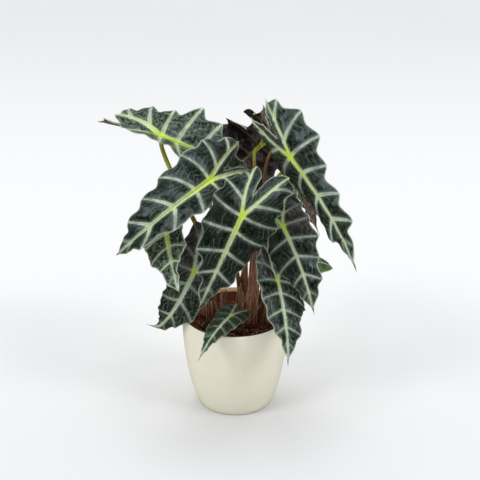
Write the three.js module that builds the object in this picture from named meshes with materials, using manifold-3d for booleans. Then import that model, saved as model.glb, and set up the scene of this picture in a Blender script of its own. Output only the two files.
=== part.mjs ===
import * as THREE from 'three';
import Module from 'manifold-3d';

const wasm = await Module();
wasm.setup();

// Sizes are in millimetres, z is up, the cover pot stands on z = 0 with its axis on the origin.
const seatGap = 0.3;            // air left between pieces that rest on one another
const coverPot = { wall: 2.6, floor: 4, height: 128.6, rimRadius: 70, sides: 44 };
const growPot = { wall: 1.3, floor: 2, rimRadius: 66, footRadius: 41, bandHeight: 12, bandStep: 1.2,
  top: 131.5, bottom: 6.5, tilt: 3, sides: 40 };
const soilTop = 114;
const soilHole = { depth: 12, clearance: 0.4, sides: 12 };
const soilBump = { height: 1.6, clearOfSheaths: 17, rings: 7, seed: 7 };
const bladeThickness = 0.9;
const stalkMesh = { sides: 7, rings: 12 };
const stalkStraight = 14;       // upright stretch of a stalk at its foot
const stalkNeck = { most: 14, share: 0.12 };  // stretch below the blade that turns towards it
const rootGap = 0.35;           // air between a stalk's top and the underside of its blade

// Outline of one blade's right half in shares of the length from stalk to tip.
// midribRoots and lobeRibShare say where the primary veins leave the midrib and the lobe's rib,
// veinEnds where they meet the margin; innerEnds runs round the inside of the lobe to the notch.
const lobeRib = [[0, 0], [0.095, -0.21], [0.168, -0.52]];
const lobeRibShare = [1, 0.66, 0.28, 0];
const midribRoots = [0, 0.16, 0.38, 0.6, 0.8, 1.09];
const veinEnds = [[0.168, -0.52], [0.262, -0.425], [0.335, -0.215], [0.345, 0.03], [0.3, 0.265],
  [0.24, 0.5], [0.158, 0.715], [0.072, 0.885], [0, 1.09]];
const innerEnds = [[0.168, -0.52], [0.062, -0.375], [0.014, -0.235], [0, -0.19]];
const scallopDepth = [0.04, 0.06, 0.06, 0.06, 0.062, 0.055, 0.045, 0];
const notch = { shape: 2, skew: 0.8 };  // how narrow the dents are and how close past each vein's end
const tipTaper = 2.4;           // how soon the last stretch of the margin narrows to a drip tip
const tipStation = 8;
const jointStation = 3;
const veinBow = 0.05;
const halfWidthShare = 0.34;
const droopShape = 1.5;         // how late along the midrib the droop sets in
const rearSpan = 0.5;           // share of the length over which the lobes curl back
const midribSpan = { from: -0.75, to: 1.15, steps: 190 };  // stretch in shares of the length
const hookFrom = 0.88;          // share of the length where a hooked drip tip starts to bend aside
const waveRate = 2.2;           // radians of margin wave from one vein to the next
const fadeStations = { lobe: 0.8, tip: 1.2 };
const fineLeaf = { from: 90, columns: 3, rows: 3, innerRows: 2 };
const smallLeaf = { columns: 2, rows: 2, innerRows: 1 };

// The leaves, each with the place of its joint, its pose in degrees and its curl.
// heading: where the tip points (0 is +x, 90 is away from the viewer), dip: how far it hangs,
// roll: right side down. width, fold and arch: left and right half. taper widens the blade
// towards its tip, lobes stretches the two lobes, veinReach the seven primary veins one by one,
// scallops deepens the dents, cleft opens the gap between the lobes, hook bends the drip tip aside.
// stalk: foot on the soil, radii at foot and top, points on the way.
const leaves = [
  { name: 'leaf_01', joint: [-96, 55, 356], heading: -7, dip: 20, roll: 35, scallops: 1.14, cleft: 0.3,
    length: 130, width: [1.35, 1.11], taper: 0.28, lobes: 1.15, droop: 30, rear: 27,
    fold: [11, 42], arch: [29, -3], twist: 38, bend: -0.03, wave: 3, puff: 2.4, phase: 0.4,
    veinReach: { left: [0.93, 0.97, 0.75, 1.12, 1.04, 0.99, 1],
      right: [0.97, 1.01, 0.93, 1.03, 0.98, 0.98, 0.99] },
    stalk: { foot: [-28, 26], radii: [3.6, 2.8],
      via: [[-37, 32, 199], [-52, 38, 240], [-61, 39, 260], [-84, 40, 316]] } },
  { name: 'leaf_02', joint: [-32, -9, 319], heading: -127, dip: 11, roll: -34, scallops: 0.79,
    length: 166, width: [0.59, 0.87], taper: 0.02, lobes: 0.96, droop: 100, rear: 18,
    fold: [-5, 27], arch: [-3, 46], twist: 43, bend: 0.13, wave: 3, puff: 2.7, phase: 1.3,
    veinReach: { left: [0.95, 1.04, 0.93, 1.04, 1.12, 1.36, 1.22],
      right: [0.99, 1.04, 0.98, 1.09, 1.02, 1.02, 1.05] },
    stalk: { foot: [8, 20], radii: [3.2, 2.2],
      via: [[1, 18, 186], [-17, 12, 229], [-31, 2, 280]] } },
  { name: 'leaf_03', joint: [9, -84, 301], heading: 163, dip: 67, roll: -84, cleft: 0.5,
    length: 138, width: [1.06, 0.99], taper: 0.05, lobes: 1.06, droop: 1, rear: 73,
    fold: [4, 4], arch: [76, 48], twist: -32, bend: 0.01, wave: 3, puff: 2.7, phase: 2.1,
    veinReach: { left: [1.14, 0.96, 1, 1.17, 1.05, 1.07, 1.07],
      right: [1.04, 1, 1.2, 1.2, 1, 0.94, 0.94] },
    stalk: { foot: [15, 8], radii: [3.2, 2.2], via: [[14, 2, 190], [13, -22, 255]] } },
  { name: 'leaf_04', joint: [68, -32, 358], heading: -48, dip: 36, roll: 85, scallops: 1.09,
    length: 162, width: [0.68, 0.81], taper: 0.2, lobes: 0.98, droop: -22, rear: 6,
    fold: [-6, 1], arch: [35, 57], twist: 9, bend: -0.01, wave: 3, puff: 2.7, phase: 0.9,
    veinReach: { left: [1.12, 1.37, 1.18, 0.91, 0.88, 1.24, 1.19],
      right: [0.98, 0.9, 1.08, 0.98, 0.87, 1, 0.98] },
    stalk: { foot: [26, 12], radii: [3.2, 2.2], via: [[34, 22, 225], [44, 32, 289]] } },
  { name: 'leaf_05', joint: [60, -42, 271], heading: -29, dip: 60, roll: 90, scallops: 0.62,
    length: 109, width: [0.97, 1.14], taper: 0.21, lobes: 0.99, droop: -18, rear: 78,
    fold: [-8, 8], arch: [36, 39], twist: -2, bend: 0.04, wave: 3, puff: 2.4, phase: 3,
    veinReach: { left: [1.03, 0.96, 0.95, 1.08, 0.95, 1.12, 1.14],
      right: [0.91, 0.75, 0.85, 1.1, 1.18, 1.01, 1] },
    stalk: { foot: [34, 4], radii: [3, 2], via: [[40, 4, 190], [48, -8, 240]] } },
  { name: 'leaf_06', joint: [54, -40, 194], heading: -76, dip: 40, roll: -36, scallops: 0.45,
    length: 104, width: [1.14, 0.91], taper: 0.1, lobes: 1.06, droop: 12, rear: -11,
    fold: [13, 7], arch: [31, 42], twist: 24, bend: 0.02, wave: 2.6, puff: 2.4, phase: 4.2,
    veinReach: { left: [1, 1.03, 0.96, 1.31, 0.85, 0.99, 1.01] },
    stalk: { foot: [36, -10], radii: [2.8, 1.9], via: [[42, -16, 150]] } },
  { name: 'leaf_07', joint: [-88, -15, 262], heading: -81, dip: 23, roll: 33, scallops: 0.27,
    length: 102, width: [0.97, 1.1], taper: 0.14, lobes: 0.99, droop: 20, rear: 12,
    fold: [16, 12], arch: [20, 28], twist: 2, bend: 0.02, wave: 3.2, puff: 2.7, phase: 0.2,
    veinReach: { left: [1, 1, 0.97, 0.84, 0.95, 0.77, 0.8],
      right: [1, 1, 0.93, 0.97, 1.08, 0.85, 1.26] },
    stalk: { foot: [-34, 12], radii: [2.8, 1.9], via: [[-46, 10, 170], [-72, -2, 225]] } },
  { name: 'leaf_08', joint: [-52, -28, 202], heading: -160, dip: 64, roll: -78, scallops: 0.5, hook: 0.1,
    length: 119, width: [0.82, 0.82], taper: 0.27, lobes: 1.05, droop: 60, rear: 4,
    fold: [17, -14], arch: [16, 40], twist: 28, bend: 0.03, wave: 2.4, puff: 2.2, phase: 5.1,
    veinReach: { left: [1.01, 1.04, 1.02, 1.05, 1.06, 0.88, 1.01],
      right: [1.37, 1, 0.8, 1.02, 1.06, 0.95, 0.92] },
    stalk: { foot: [-22, 8], radii: [2.8, 1.9], via: [[-28, 3, 150]] } },
  { name: 'leaf_09', joint: [-5, -42, 146], heading: -116, dip: 0, roll: -13, scallops: 0.45,
    length: 80, width: [0.7, 0.76], taper: 0, lobes: 1, droop: 45, rear: 18,
    fold: [5, 3], arch: [27, 33], twist: 12, bend: 0, wave: 1.4, puff: 1.4, phase: 1.8,
    stalk: { foot: [2, -26], radii: [1.9, 1.3], via: [] } },
  { name: 'leaf_10', joint: [34, 114, 324], heading: 151, dip: 45, roll: 108, scallops: 1.3,
    length: 133, width: [1.17, 1.03], taper: 0.26, lobes: 1.39, droop: 21, rear: 52,
    fold: [-29, 33], arch: [22, 6], twist: 38, bend: -0.01, wave: 10, puff: 3.5, phase: 0.5,
    veinReach: { left: [1.16, 0.71, 1.09, 1.19, 0.86, 0.99, 1.07],
      right: [1.18, 0.8, 0.93, 1.3, 1.1, 0.79, 0.97] },
    stalk: { foot: [17, 28], radii: [3, 2], via: [[24, 38, 220], [26, 70, 288]] } },
  { name: 'leaf_11', joint: [54, 34, 350], heading: -7, dip: 64, roll: -34, scallops: 0.3,
    length: 124, width: [0.93, 0.88], taper: 0.01, lobes: 0.85, droop: 1, rear: -23,
    fold: [19, 14], arch: [19, 15], twist: -8, bend: 0, wave: 3, puff: 2.4, phase: 3.6,
    veinReach: { left: [1, 1, 1, 1.1, 1.35, 1.35, 1], right: [1, 1, 1, 1.03, 1.05, 1.13, 0.86] },
    stalk: { foot: [27, 26], radii: [3, 2], via: [[35, 36, 225], [37, 50, 285]] } },
  { name: 'leaf_12', joint: [101, -5, 205], heading: 34, dip: 17, roll: 19, scallops: 0,
    length: 40, width: [1.5, 1.56], taper: 0, lobes: 1, droop: 29, rear: 12,
    fold: [9, 9], arch: [25, 25], twist: 0, bend: 0, wave: 0.4, puff: 0.4, phase: 0,
    stalk: { foot: [38, 14], radii: [1.7, 1.1], via: [[54, 14, 165], [84, 2, 196]] } },
];

// The dry sheaths about the stalks' feet: foot and top of the middle line, half widths there,
// the bearing their hollow side turns away from, and the radius they curl round.
const sheaths = [
  { name: 'sheath_front_tall', foot: [21, -6], top: [26, -4, 227], widths: [9, 5], facing: -95, curl: 11 },
  { name: 'sheath_back_left', foot: [2, 34], top: [14, 26, 196], widths: [8, 4], facing: 130, curl: 12 },
  { name: 'sheath_right', foot: [46, 2], top: [45, 4, 168], widths: [9, 3], facing: -10, curl: 12 },
  { name: 'sheath_front_left', foot: [4, 2], top: [7, 6, 168], widths: [9, 4], facing: -125, curl: 12 },
  { name: 'sheath_far_left', foot: [-43, 16], top: [-46, 20, 152], widths: [9, 6], facing: 200, curl: 11 },
  { name: 'sheath_left', foot: [-30, -3], top: [-33, -2, 150], widths: [10, 7], facing: -100, curl: 12 },
  { name: 'sheath_mid_left', foot: [-11, 12], top: [-15, 13, 156], widths: [9, 6], facing: -50, curl: 11 },
];
const sheathMesh = { thickness: 1, columns: 4, rows: 5, footGap: 0.4 };
const sheathTear = { middle: 0.12, ragged: 0.05 };  // how far the edges and the tears fall short of the top
const youngLeaf = { foot: [34, 20], top: [37, 12, 204], radius: 2.6, slimUpTo: 0.55, taperFrom: 0.8 };

const radians = THREE.MathUtils.degToRad;
const lerp = THREE.MathUtils.lerp;

// Small seeded generator for the soil's unevenness
function seededRandom(seed) {
  let state = seed;
  return () => {
    state = (state * 1664525 + 1013904223) % 4294967296;
    return state / 4294967296;
  };
}

// Mesh from points and triangles; equal points become one and flat triangles go
function weld(points, faces) {
  const seen = new Map();
  const kept = [];
  const index = points.map(([x, y, z]) => {
    const key = [x, y, z].map((v) => Math.round(v * 1000)).join();
    if (!seen.has(key)) {
      seen.set(key, kept.length / 3);
      kept.push(x, y, z);
    }
    return seen.get(key);
  });
  const tris = [];
  for (const [a, b, c] of faces) {
    const [i, j, k] = [index[a], index[b], index[c]];
    if (i !== j && j !== k && i !== k) tris.push(i, j, k);
  }
  const geometry = new THREE.BufferGeometry();
  geometry.setAttribute('position', new THREE.Float32BufferAttribute(kept, 3));
  geometry.setIndex(tris);
  return geometry;
}

// Grid of rows and columns as triangles, numbered row by row
function gridFaces(rows, columns, start = 0, flip = false) {
  const faces = [];
  for (let r = 0; r < rows - 1; r += 1) {
    for (let c = 0; c < columns - 1; c += 1) {
      const a = start + r * columns + c;
      const [b, d, e] = [a + 1, a + columns, a + columns + 1];
      if (flip) faces.push([a, d, b], [b, d, e]);
      else faces.push([a, b, d], [b, e, d]);
    }
  }
  return faces;
}

// Gives a thin sheet its thickness: both faces keep the same triangles and the rim is closed
function thicken(sheet, thickness) {
  sheet.computeVertexNormals();
  const position = sheet.attributes.position;
  const normal = sheet.attributes.normal;
  const count = position.count;
  const points = [];
  for (const side of [0.5, -0.5]) {
    for (let i = 0; i < count; i += 1) {
      const p = new THREE.Vector3().fromBufferAttribute(position, i);
      const n = new THREE.Vector3().fromBufferAttribute(normal, i);
      points.push(p.addScaledVector(n, side * thickness).toArray());
    }
  }
  const faces = [];
  const edges = new Map();
  const tris = sheet.index.array;
  for (let t = 0; t < tris.length; t += 3) {
    const [a, b, c] = [tris[t], tris[t + 1], tris[t + 2]];
    faces.push([a, b, c], [c + count, b + count, a + count]);
    for (const [p, q] of [[a, b], [b, c], [c, a]]) {
      if (edges.has(`${q},${p}`)) edges.delete(`${q},${p}`);
      else edges.set(`${p},${q}`, [p, q]);
    }
  }
  for (const [p, q] of edges.values()) faces.push([q, p, q + count], [p, p + count, q + count]);
  return weld(points, faces);
}

// Turned body about the z axis from radius and height pairs that start and end on the axis
function turned(profile, sides) {
  const points = [];
  for (const [radius, height] of profile) {
    for (let i = 0; i <= sides; i += 1) {
      const angle = (i % sides) * 2 * Math.PI / sides;
      points.push([radius * Math.cos(angle), radius * Math.sin(angle), height]);
    }
  }
  return weld(points, gridFaces(profile.length, sides + 1));
}

function toManifold(geometry) {
  return new wasm.Manifold(new wasm.Mesh({
    numProp: 3,
    vertProperties: new Float32Array(geometry.attributes.position.array),
    triVerts: new Uint32Array(geometry.index.array),
  }));
}

function fromManifold(body) {
  const mesh = body.getMesh();
  const geometry = new THREE.BufferGeometry();
  geometry.setAttribute('position', new THREE.Float32BufferAttribute(mesh.vertProperties, 3));
  geometry.setIndex([...mesh.triVerts]);
  return geometry;
}

// Round bar along a curve, thinning from its foot to its top; a cut plane may end it aslant
function bar(curve, rings, radiusAt, cut) {
  const { sides } = stalkMesh;
  const frames = curve.computeFrenetFrames(rings, false);
  const points = [];
  const foot = curve.getPointAt(0);
  const top = curve.getPointAt(1);
  for (let r = 0; r <= rings + 2; r += 1) {
    const k = Math.min(Math.max(r - 1, 0), rings);
    for (let i = 0; i <= sides; i += 1) {
      const angle = (i % sides) * 2 * Math.PI / sides;
      const p = r === 0 ? foot.clone() : r === rings + 2 ? top.clone() : curve.getPointAt(k / rings);
      if (r > 0 && r < rings + 2) {
        const radius = radiusAt(k / rings);
        p.addScaledVector(frames.normals[k], radius * Math.cos(angle));
        p.addScaledVector(frames.binormals[k], radius * Math.sin(angle));
        if (cut && k === rings) {
          const along = frames.tangents[k];
          p.addScaledVector(along, cut.point.clone().sub(p).dot(cut.normal) / along.dot(cut.normal));
        }
      }
      points.push(p.toArray());
    }
  }
  return weld(points, gridFaces(rings + 3, sides + 1));
}

// Point on the lobe's rib: share 0 is the joint, 1 the lobe's end
function lobeRibPoint(share) {
  const back = 1 - share;
  return [0, 1].map((k) => back * back * lobeRib[0][k] + 2 * back * share * lobeRib[1][k]
    + share * share * lobeRib[2][k]);
}

function between(rows, station) {
  const i = Math.min(Math.floor(station), rows.length - 2);
  return [0, 1].map((k) => lerp(rows[i][k], rows[i + 1][k], station - i));
}

// Where the line of a station leaves the midrib or the lobe's rib
function stationRoot(station) {
  if (station < jointStation) {
    const i = Math.floor(station);
    return lobeRibPoint(lerp(lobeRibShare[i], lobeRibShare[i + 1], station - i));
  }
  const i = Math.min(Math.floor(station), tipStation - 1) - jointStation;
  return [0, lerp(midribRoots[i], midribRoots[i + 1], station - jointStation - i)];
}

// Ends of one half's primary veins, stretched or shortened as the leaf has them
function marginEnds(leaf, side) {
  const stretch = leaf.veinReach?.[side > 0 ? 'right' : 'left'] ?? [];
  return veinEnds.map((end, i) => {
    const root = stationRoot(i);
    return [0, 1].map((k) => lerp(root[k], end[k], stretch[i - 1] ?? 1));
  });
}

// Margin without its dents: a smooth line through the veins' ends that narrows to the drip tip
function marginPoint(ends, station) {
  const i = Math.min(Math.floor(station), tipStation - 1);
  const t = station - i;
  const [start, end] = [ends[i], ends[i + 1]];
  if (i === tipStation - 1) {
    return [lerp(start[0], end[0], 1 - (1 - t) ** tipTaper), lerp(start[1], end[1], t)];
  }
  const [before, after] = [ends[Math.max(i - 1, 0)], ends[i + 2]];
  return [0, 1].map((k) => {
    const [go, come] = [(end[k] - before[k]) / 2, (after[k] - start[k]) / 2];
    return start[k] + go * t + (3 * (end[k] - start[k]) - 2 * go - come) * t ** 2
      + (2 * (start[k] - end[k]) + go + come) * t ** 3;
  });
}

// Flat half of a blade: station runs lobe tip, joint, tip; reach 0 is the rib and 1 the margin
function flatPoint(leaf, ends, station, reach, inner) {
  const root = stationRoot(station);
  if (inner) {
    const end = between(innerEnds, station);
    end[0] *= lerp(1, leaf.cleft ?? 1, Math.min(1, station));
    return [0, 1].map((k) => lerp(root[k], end[k], reach));
  }
  const end = marginPoint(ends, station);
  const i = Math.min(Math.floor(station), tipStation - 1);
  const span = Math.hypot(end[0] - root[0], end[1] - root[1]);
  const swing = Math.abs(Math.sin(Math.PI * (station - i) ** notch.skew)) ** notch.shape;
  const dent = scallopDepth[i] * (leaf.scallops ?? 1) * swing;
  const pull = span > 1e-6 ? Math.min(dent, 0.6 * span) / span : 0;
  const margin = [0, 1].map((k) => lerp(end[k], root[k], pull));
  const run = [margin[0] - root[0], margin[1] - root[1]];
  const bow = veinBow * Math.min(1, station);
  const middle = [(root[0] + margin[0]) / 2 + run[1] * bow, (root[1] + margin[1]) / 2 - run[0] * bow];
  const back = 1 - reach;
  const bowed = (k) => back * back * root[k] + 2 * back * reach * middle[k] + reach * reach * margin[k];
  return [bowed(0), bowed(1)];
}

// Height of the surface over its smooth form: swollen between the veins, waved towards the margin
function relief(leaf, side, station, reach, inner) {
  const fade = Math.min(1, station / fadeStations.lobe, (tipStation - station) / fadeStations.tip);
  const share = station - Math.floor(station);
  const swell = leaf.puff * Math.sin(Math.PI * share) * Math.sin(Math.PI * Math.min(1, reach * 0.9));
  const close = inner ? Math.max(0, 1 - station / jointStation) : 1;
  const phase = leaf.phase * (1 + side / 2);
  const wave = leaf.wave * reach * reach * close * Math.sin(waveRate * station + phase);
  return fade * (swell * close + wave);
}

// Directions of a leaf's own frame: right, forward, and out of its upper face
function leafFrame(leaf) {
  const [h, dip, roll] = [leaf.heading, leaf.dip, leaf.roll].map(radians);
  const ahead = new THREE.Vector3(Math.cos(h), Math.sin(h), 0).multiplyScalar(Math.cos(dip));
  const forward = ahead.setZ(-Math.sin(dip));
  const level = new THREE.Vector3(Math.cos(h) * Math.sin(dip), Math.sin(h) * Math.sin(dip), Math.cos(dip));
  const across = new THREE.Vector3().crossVectors(forward, level);
  const right = across.clone().multiplyScalar(Math.cos(roll)).addScaledVector(level, -Math.sin(roll));
  const up = level.clone().multiplyScalar(Math.cos(roll)).addScaledVector(across, Math.sin(roll));
  return { forward, right, up };
}

// Midrib seen from the side: forward, up and slope at steps along it
function midribLine(leaf) {
  const { steps } = midribSpan;
  const from = midribSpan.from * leaf.length;
  const step = (midribSpan.to - midribSpan.from) * leaf.length / steps;
  const slope = (y) => (y > 0 ? radians(leaf.droop) * (y / leaf.length) ** droopShape
    : -radians(leaf.rear) * Math.abs(y) / (rearSpan * leaf.length));
  const rows = [[from, 0, 0, slope(from)]];
  for (let i = 1; i <= steps; i += 1) {
    const y = from + i * step;
    const [, f, u, before] = rows[i - 1];
    const now = slope(y);
    rows.push([y, f + step * (Math.cos(now) + Math.cos(before)) / 2,
      u - step * (Math.sin(now) + Math.sin(before)) / 2, now]);
  }
  const at = (y) => {
    const place = Math.min(Math.max((y - from) / step, 0), steps - 1e-6);
    const i = Math.floor(place);
    return [1, 2, 3].map((k) => lerp(rows[i][k], rows[i + 1][k], place - i));
  };
  const zero = at(0);
  return (y) => {
    const [f, u, s] = at(y);
    return [f - zero[0], u - zero[1], s];
  };
}

// Puts a flat point of one half into space
function bladePoint({ leaf, line, frame, side, ends }, station, reach, inner) {
  const [a, b] = flatPoint(leaf, ends, station, reach, inner);
  const hand = side > 0 ? 1 : 0;
  const spread = leaf.length * leaf.width[hand];
  const x = a * spread * (1 + leaf.taper * b);
  const y = b * leaf.length * (b < 0 ? leaf.lobes : 1);
  const fold = radians(leaf.fold[hand]);
  const arch = radians(leaf.arch[hand]) / (halfWidthShare * spread);
  const angle = fold - arch * x;
  const lift = relief(leaf, side, station, reach, inner);
  const out = (Math.sin(fold) - Math.sin(angle)) / arch - lift * Math.sin(angle);
  const rise = (Math.cos(angle) - Math.cos(fold)) / arch + lift * Math.cos(angle);
  const turn = radians(leaf.twist) * Math.min(Math.max(y / leaf.length, -0.5), 1.2);
  const across = side * out * Math.cos(turn) + rise * Math.sin(turn);
  const above = -side * out * Math.sin(turn) + rise * Math.cos(turn);
  const tail = Math.max(0, (y / leaf.length - hookFrom) / (veinEnds[tipStation][1] - hookFrom));
  const aside = leaf.bend * Math.max(0, y / leaf.length) ** 2 + (leaf.hook ?? 0) * tail ** 2;
  const sway = leaf.length * aside;
  const [ahead, drop, slope] = line(y);
  return new THREE.Vector3(...leaf.joint)
    .addScaledVector(frame.right, across + sway)
    .addScaledVector(frame.forward, ahead + above * Math.sin(slope))
    .addScaledVector(frame.up, drop + above * Math.cos(slope))
    .toArray();
}

// Blade of one leaf: both halves, in front of the joint and behind it, as a closed thin body
function blade(leaf) {
  const line = midribLine(leaf);
  const frame = leafFrame(leaf);
  const size = leaf.length > fineLeaf.from ? fineLeaf : smallLeaf;
  const points = [];
  const faces = [];
  for (const side of [1, -1]) {
    const half = { leaf, line, frame, side, ends: marginEnds(leaf, side) };
    for (const inner of [false, true]) {
      const stations = (inner ? jointStation : tipStation) * size.columns;
      const rows = inner ? size.innerRows : size.rows;
      const start = points.length;
      for (let s = 0; s <= stations; s += 1) {
        for (let r = 0; r <= rows; r += 1) {
          points.push(bladePoint(half, s / size.columns, r / rows, inner));
        }
      }
      faces.push(...gridFaces(stations + 1, rows + 1, start, (side > 0) !== inner));
    }
  }
  return thicken(weld(points, faces), bladeThickness);
}

// First points of what stands in a hole in the soil
function uprightFoot([x, y]) {
  const low = soilTop - soilHole.depth + seatGap;
  return [0, 0.5, 1].map((share) => new THREE.Vector3(x, y, low + share * stalkStraight));
}

// Stalk of one leaf, from its hole in the soil up to the underside of the blade
function stalk(leaf) {
  const { foot, radii, via } = leaf.stalk;
  const { up } = leafFrame(leaf);
  const joint = new THREE.Vector3(...leaf.joint);
  const droopedFold = radians(Math.max(0, -Math.min(...leaf.fold)));
  const gap = bladeThickness / 2 + rootGap + radii[1] * Math.tan(droopedFold);
  const path = uprightFoot(foot);
  for (const point of via) path.push(new THREE.Vector3(...point));
  const rising = joint.clone().sub(path.at(-1)).normalize().add(up).normalize();
  const reach = Math.min(stalkNeck.most, leaf.length * stalkNeck.share);
  const seat = joint.clone().addScaledVector(up, -gap);
  path.push(seat.clone().addScaledVector(rising, -reach), seat);
  const curve = new THREE.CatmullRomCurve3(path, false, 'centripetal');
  return bar(curve, stalkMesh.rings, (t) => lerp(radii[0], radii[1], t), { point: seat, normal: up });
}

// Height of the leaning soil's calm parts at a distance from the axis towards the back
function soilHeight(y) {
  const lean = radians(growPot.tilt);
  return growPot.top - (growPot.top - soilTop) / Math.cos(lean) + y * Math.tan(lean);
}

// Dry sheath: a narrow curled strap that ends in a torn point
function sheath({ foot, top, widths, facing, curl }) {
  const { columns, rows, thickness, footGap } = sheathMesh;
  const bearing = radians(facing);
  const points = [];
  for (let r = 0; r <= rows; r += 1) {
    for (let c = 0; c <= columns; c += 1) {
      const across = 2 * c / columns - 1;
      const tear = sheathTear.ragged * Math.sin(5 * across + foot[0]);
      const ragged = 1 - sheathTear.middle * across * across - tear;
      const up = r / rows * ragged;
      const halfWidth = lerp(widths[0], widths[1], up);
      const angle = bearing + across * halfWidth / curl;
      const deep = curl * (Math.sin(angle) - Math.sin(bearing));
      points.push([
        lerp(foot[0], top[0], up) + curl * (Math.cos(angle) - Math.cos(bearing)),
        lerp(foot[1], top[1], up) + deep,
        lerp(soilHeight(foot[1] + deep) + footGap, top[2], up),
      ]);
    }
  }
  return thicken(weld(points, gridFaces(rows + 1, columns + 1)), thickness);
}

// Rolled leaf that is still closed, standing among the sheaths
function rolledLeaf() {
  const { foot, top, radius, slimUpTo, taperFrom } = youngLeaf;
  const path = [...uprightFoot(foot), new THREE.Vector3(...top)];
  const curve = new THREE.CatmullRomCurve3(path, false, 'centripetal');
  const thickness = (t) => {
    if (t < slimUpTo) return radius * 0.8;
    return radius * Math.max(0.12, 1 - Math.max(0, (t - taperFrom) / (1 - taperFrom)) ** 2);
  };
  return bar(curve, stalkMesh.rings, thickness);
}

// Cover pot: outer wall bulges a little between the foot and the rim
function coverPotBody() {
  const outer = [[47.5, 0], [49.6, 0.8], [51, 3], [54.6, 12], [60.4, 32], [65.6, 60], [69.2, 90],
    [70.4, 112], [coverPot.rimRadius, 127.8]];
  const rim = [[coverPot.rimRadius - 0.9, coverPot.height], [coverPot.rimRadius - 1.7, coverPot.height]];
  const inner = outer.slice(3).reverse().map(([r, z]) => [r - coverPot.wall, z]);
  const last = inner.at(-1);
  const floor = [[last[0] - 3, coverPot.floor], [0, coverPot.floor]];
  return turned([[0, 0], ...outer, ...rim, ...inner, ...floor], coverPot.sides);
}

// Radius of the growing pot's inner wall at a height over its own floor's underside
function growRadius(height) {
  const share = height / (growPot.top - growPot.bottom);
  return lerp(growPot.footRadius, growPot.rimRadius - growPot.bandStep, share) - growPot.wall;
}

// The growing pot leans back a little, about the middle of its rim
function leaning(geometry) {
  const pivot = growPot.top;
  return geometry.translate(0, 0, -pivot).rotateX(radians(growPot.tilt)).translate(0, 0, pivot);
}

function growPotBody() {
  const { wall, rimRadius, footRadius, bandHeight, bandStep, top, bottom } = growPot;
  const bandFoot = top - bandHeight;
  const inner = (z) => growRadius(z - bottom);
  const profile = [[0, bottom], [footRadius - 1, bottom], [footRadius, bottom + 1],
    [inner(bandFoot) + wall, bandFoot - 0.6], [rimRadius, bandFoot], [rimRadius, top - 0.4],
    [rimRadius - 0.5, top], [rimRadius - bandStep - wall + 0.4, top], [inner(top - 1), top - 1],
    [inner(bottom + growPot.floor), bottom + growPot.floor], [0, bottom + growPot.floor]];
  return leaning(turned(profile, growPot.sides));
}

// Soil: fills the growing pot, uneven on top, with one plain hole for each stalk
function soilBody() {
  const random = seededRandom(soilBump.seed);
  const { rings, clearOfSheaths } = soilBump;
  const { sides, bottom, floor } = growPot;
  const clear = seatGap + 0.2;
  const low = bottom + floor + seatGap;
  const half = (low + soilTop) / 2;
  const levels = [[0, low], ...[low, half, soilTop].map((z) => [growRadius(z - bottom) - clear, z])];
  const points = [];
  const steps = sides / 2;
  const edge = levels.at(-1)[0];
  const rows = [...levels];
  for (let k = 1; k <= rings; k += 1) rows.push([edge * (1 - k / rings), soilTop]);
  rows.forEach(([radius, height], row) => {
    for (let i = 0; i <= steps; i += 1) {
      const angle = (i % steps) * 2 * Math.PI / steps;
      const [x, y] = [radius * Math.cos(angle), radius * Math.sin(angle)];
      const clearOf = ({ foot }) => Math.hypot(x - foot[0], y - foot[1]) > clearOfSheaths;
      const open = row >= levels.length && sheaths.every(clearOf);
      points.push([x, y, height + (open ? (2 * random() - 1) * soilBump.height : 0)]);
    }
    points[points.length - 1] = [...points[points.length - steps - 1]];
  });
  let body = toManifold(leaning(weld(points, gridFaces(rows.length, steps + 1))));
  const holes = [...leaves.map(({ stalk: s }) => [s.foot, s.radii[0]]), [youngLeaf.foot, youngLeaf.radius]];
  for (const [foot, radius] of holes) {
    const reach = radius + soilHole.clearance;
    const tall = 2 * soilHole.depth;
    const drill = turned([[0, 0], [reach, 0], [reach, tall], [0, tall]], soilHole.sides);
    drill.translate(foot[0], foot[1], soilTop - soilHole.depth);
    body = body.subtract(toManifold(drill));
  }
  return fromManifold(body);
}

function paint(color, roughness) {
  return new THREE.MeshStandardMaterial({ color, roughness, metalness: 0, flatShading: false });
}

const plant = new THREE.Group();
plant.name = 'potted_alocasia';

function add(name, geometry, color, roughness) {
  geometry.computeVertexNormals();
  const mesh = new THREE.Mesh(geometry, paint(color, roughness));
  mesh.name = name;
  plant.add(mesh);
}

add('cover_pot', coverPotBody(), 0xe9e2d0, 0.6);
add('growing_pot', growPotBody(), 0xb5573a, 0.6);
add('soil', soilBody(), 0x2b1b14, 0.95);
for (const leaf of leaves) {
  add(`${leaf.name}_blade`, blade(leaf), 0x24402c, 0.35);
  add(`${leaf.name}_stalk`, stalk(leaf), 0x7a7a36, 0.5);
}
for (const item of sheaths) add(item.name, sheath(item), 0x6b4030, 0.85);
add('rolled_leaf', rolledLeaf(), 0x55752c, 0.5);

export default plant;
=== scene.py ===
# Potted alocasia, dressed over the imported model. Blender's metres, z up, the pot's axis on the origin;
# the pieces' own sizes are in millimetres and degrees.
import math

import bpy
import numpy as np
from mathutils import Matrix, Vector, noise


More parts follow.
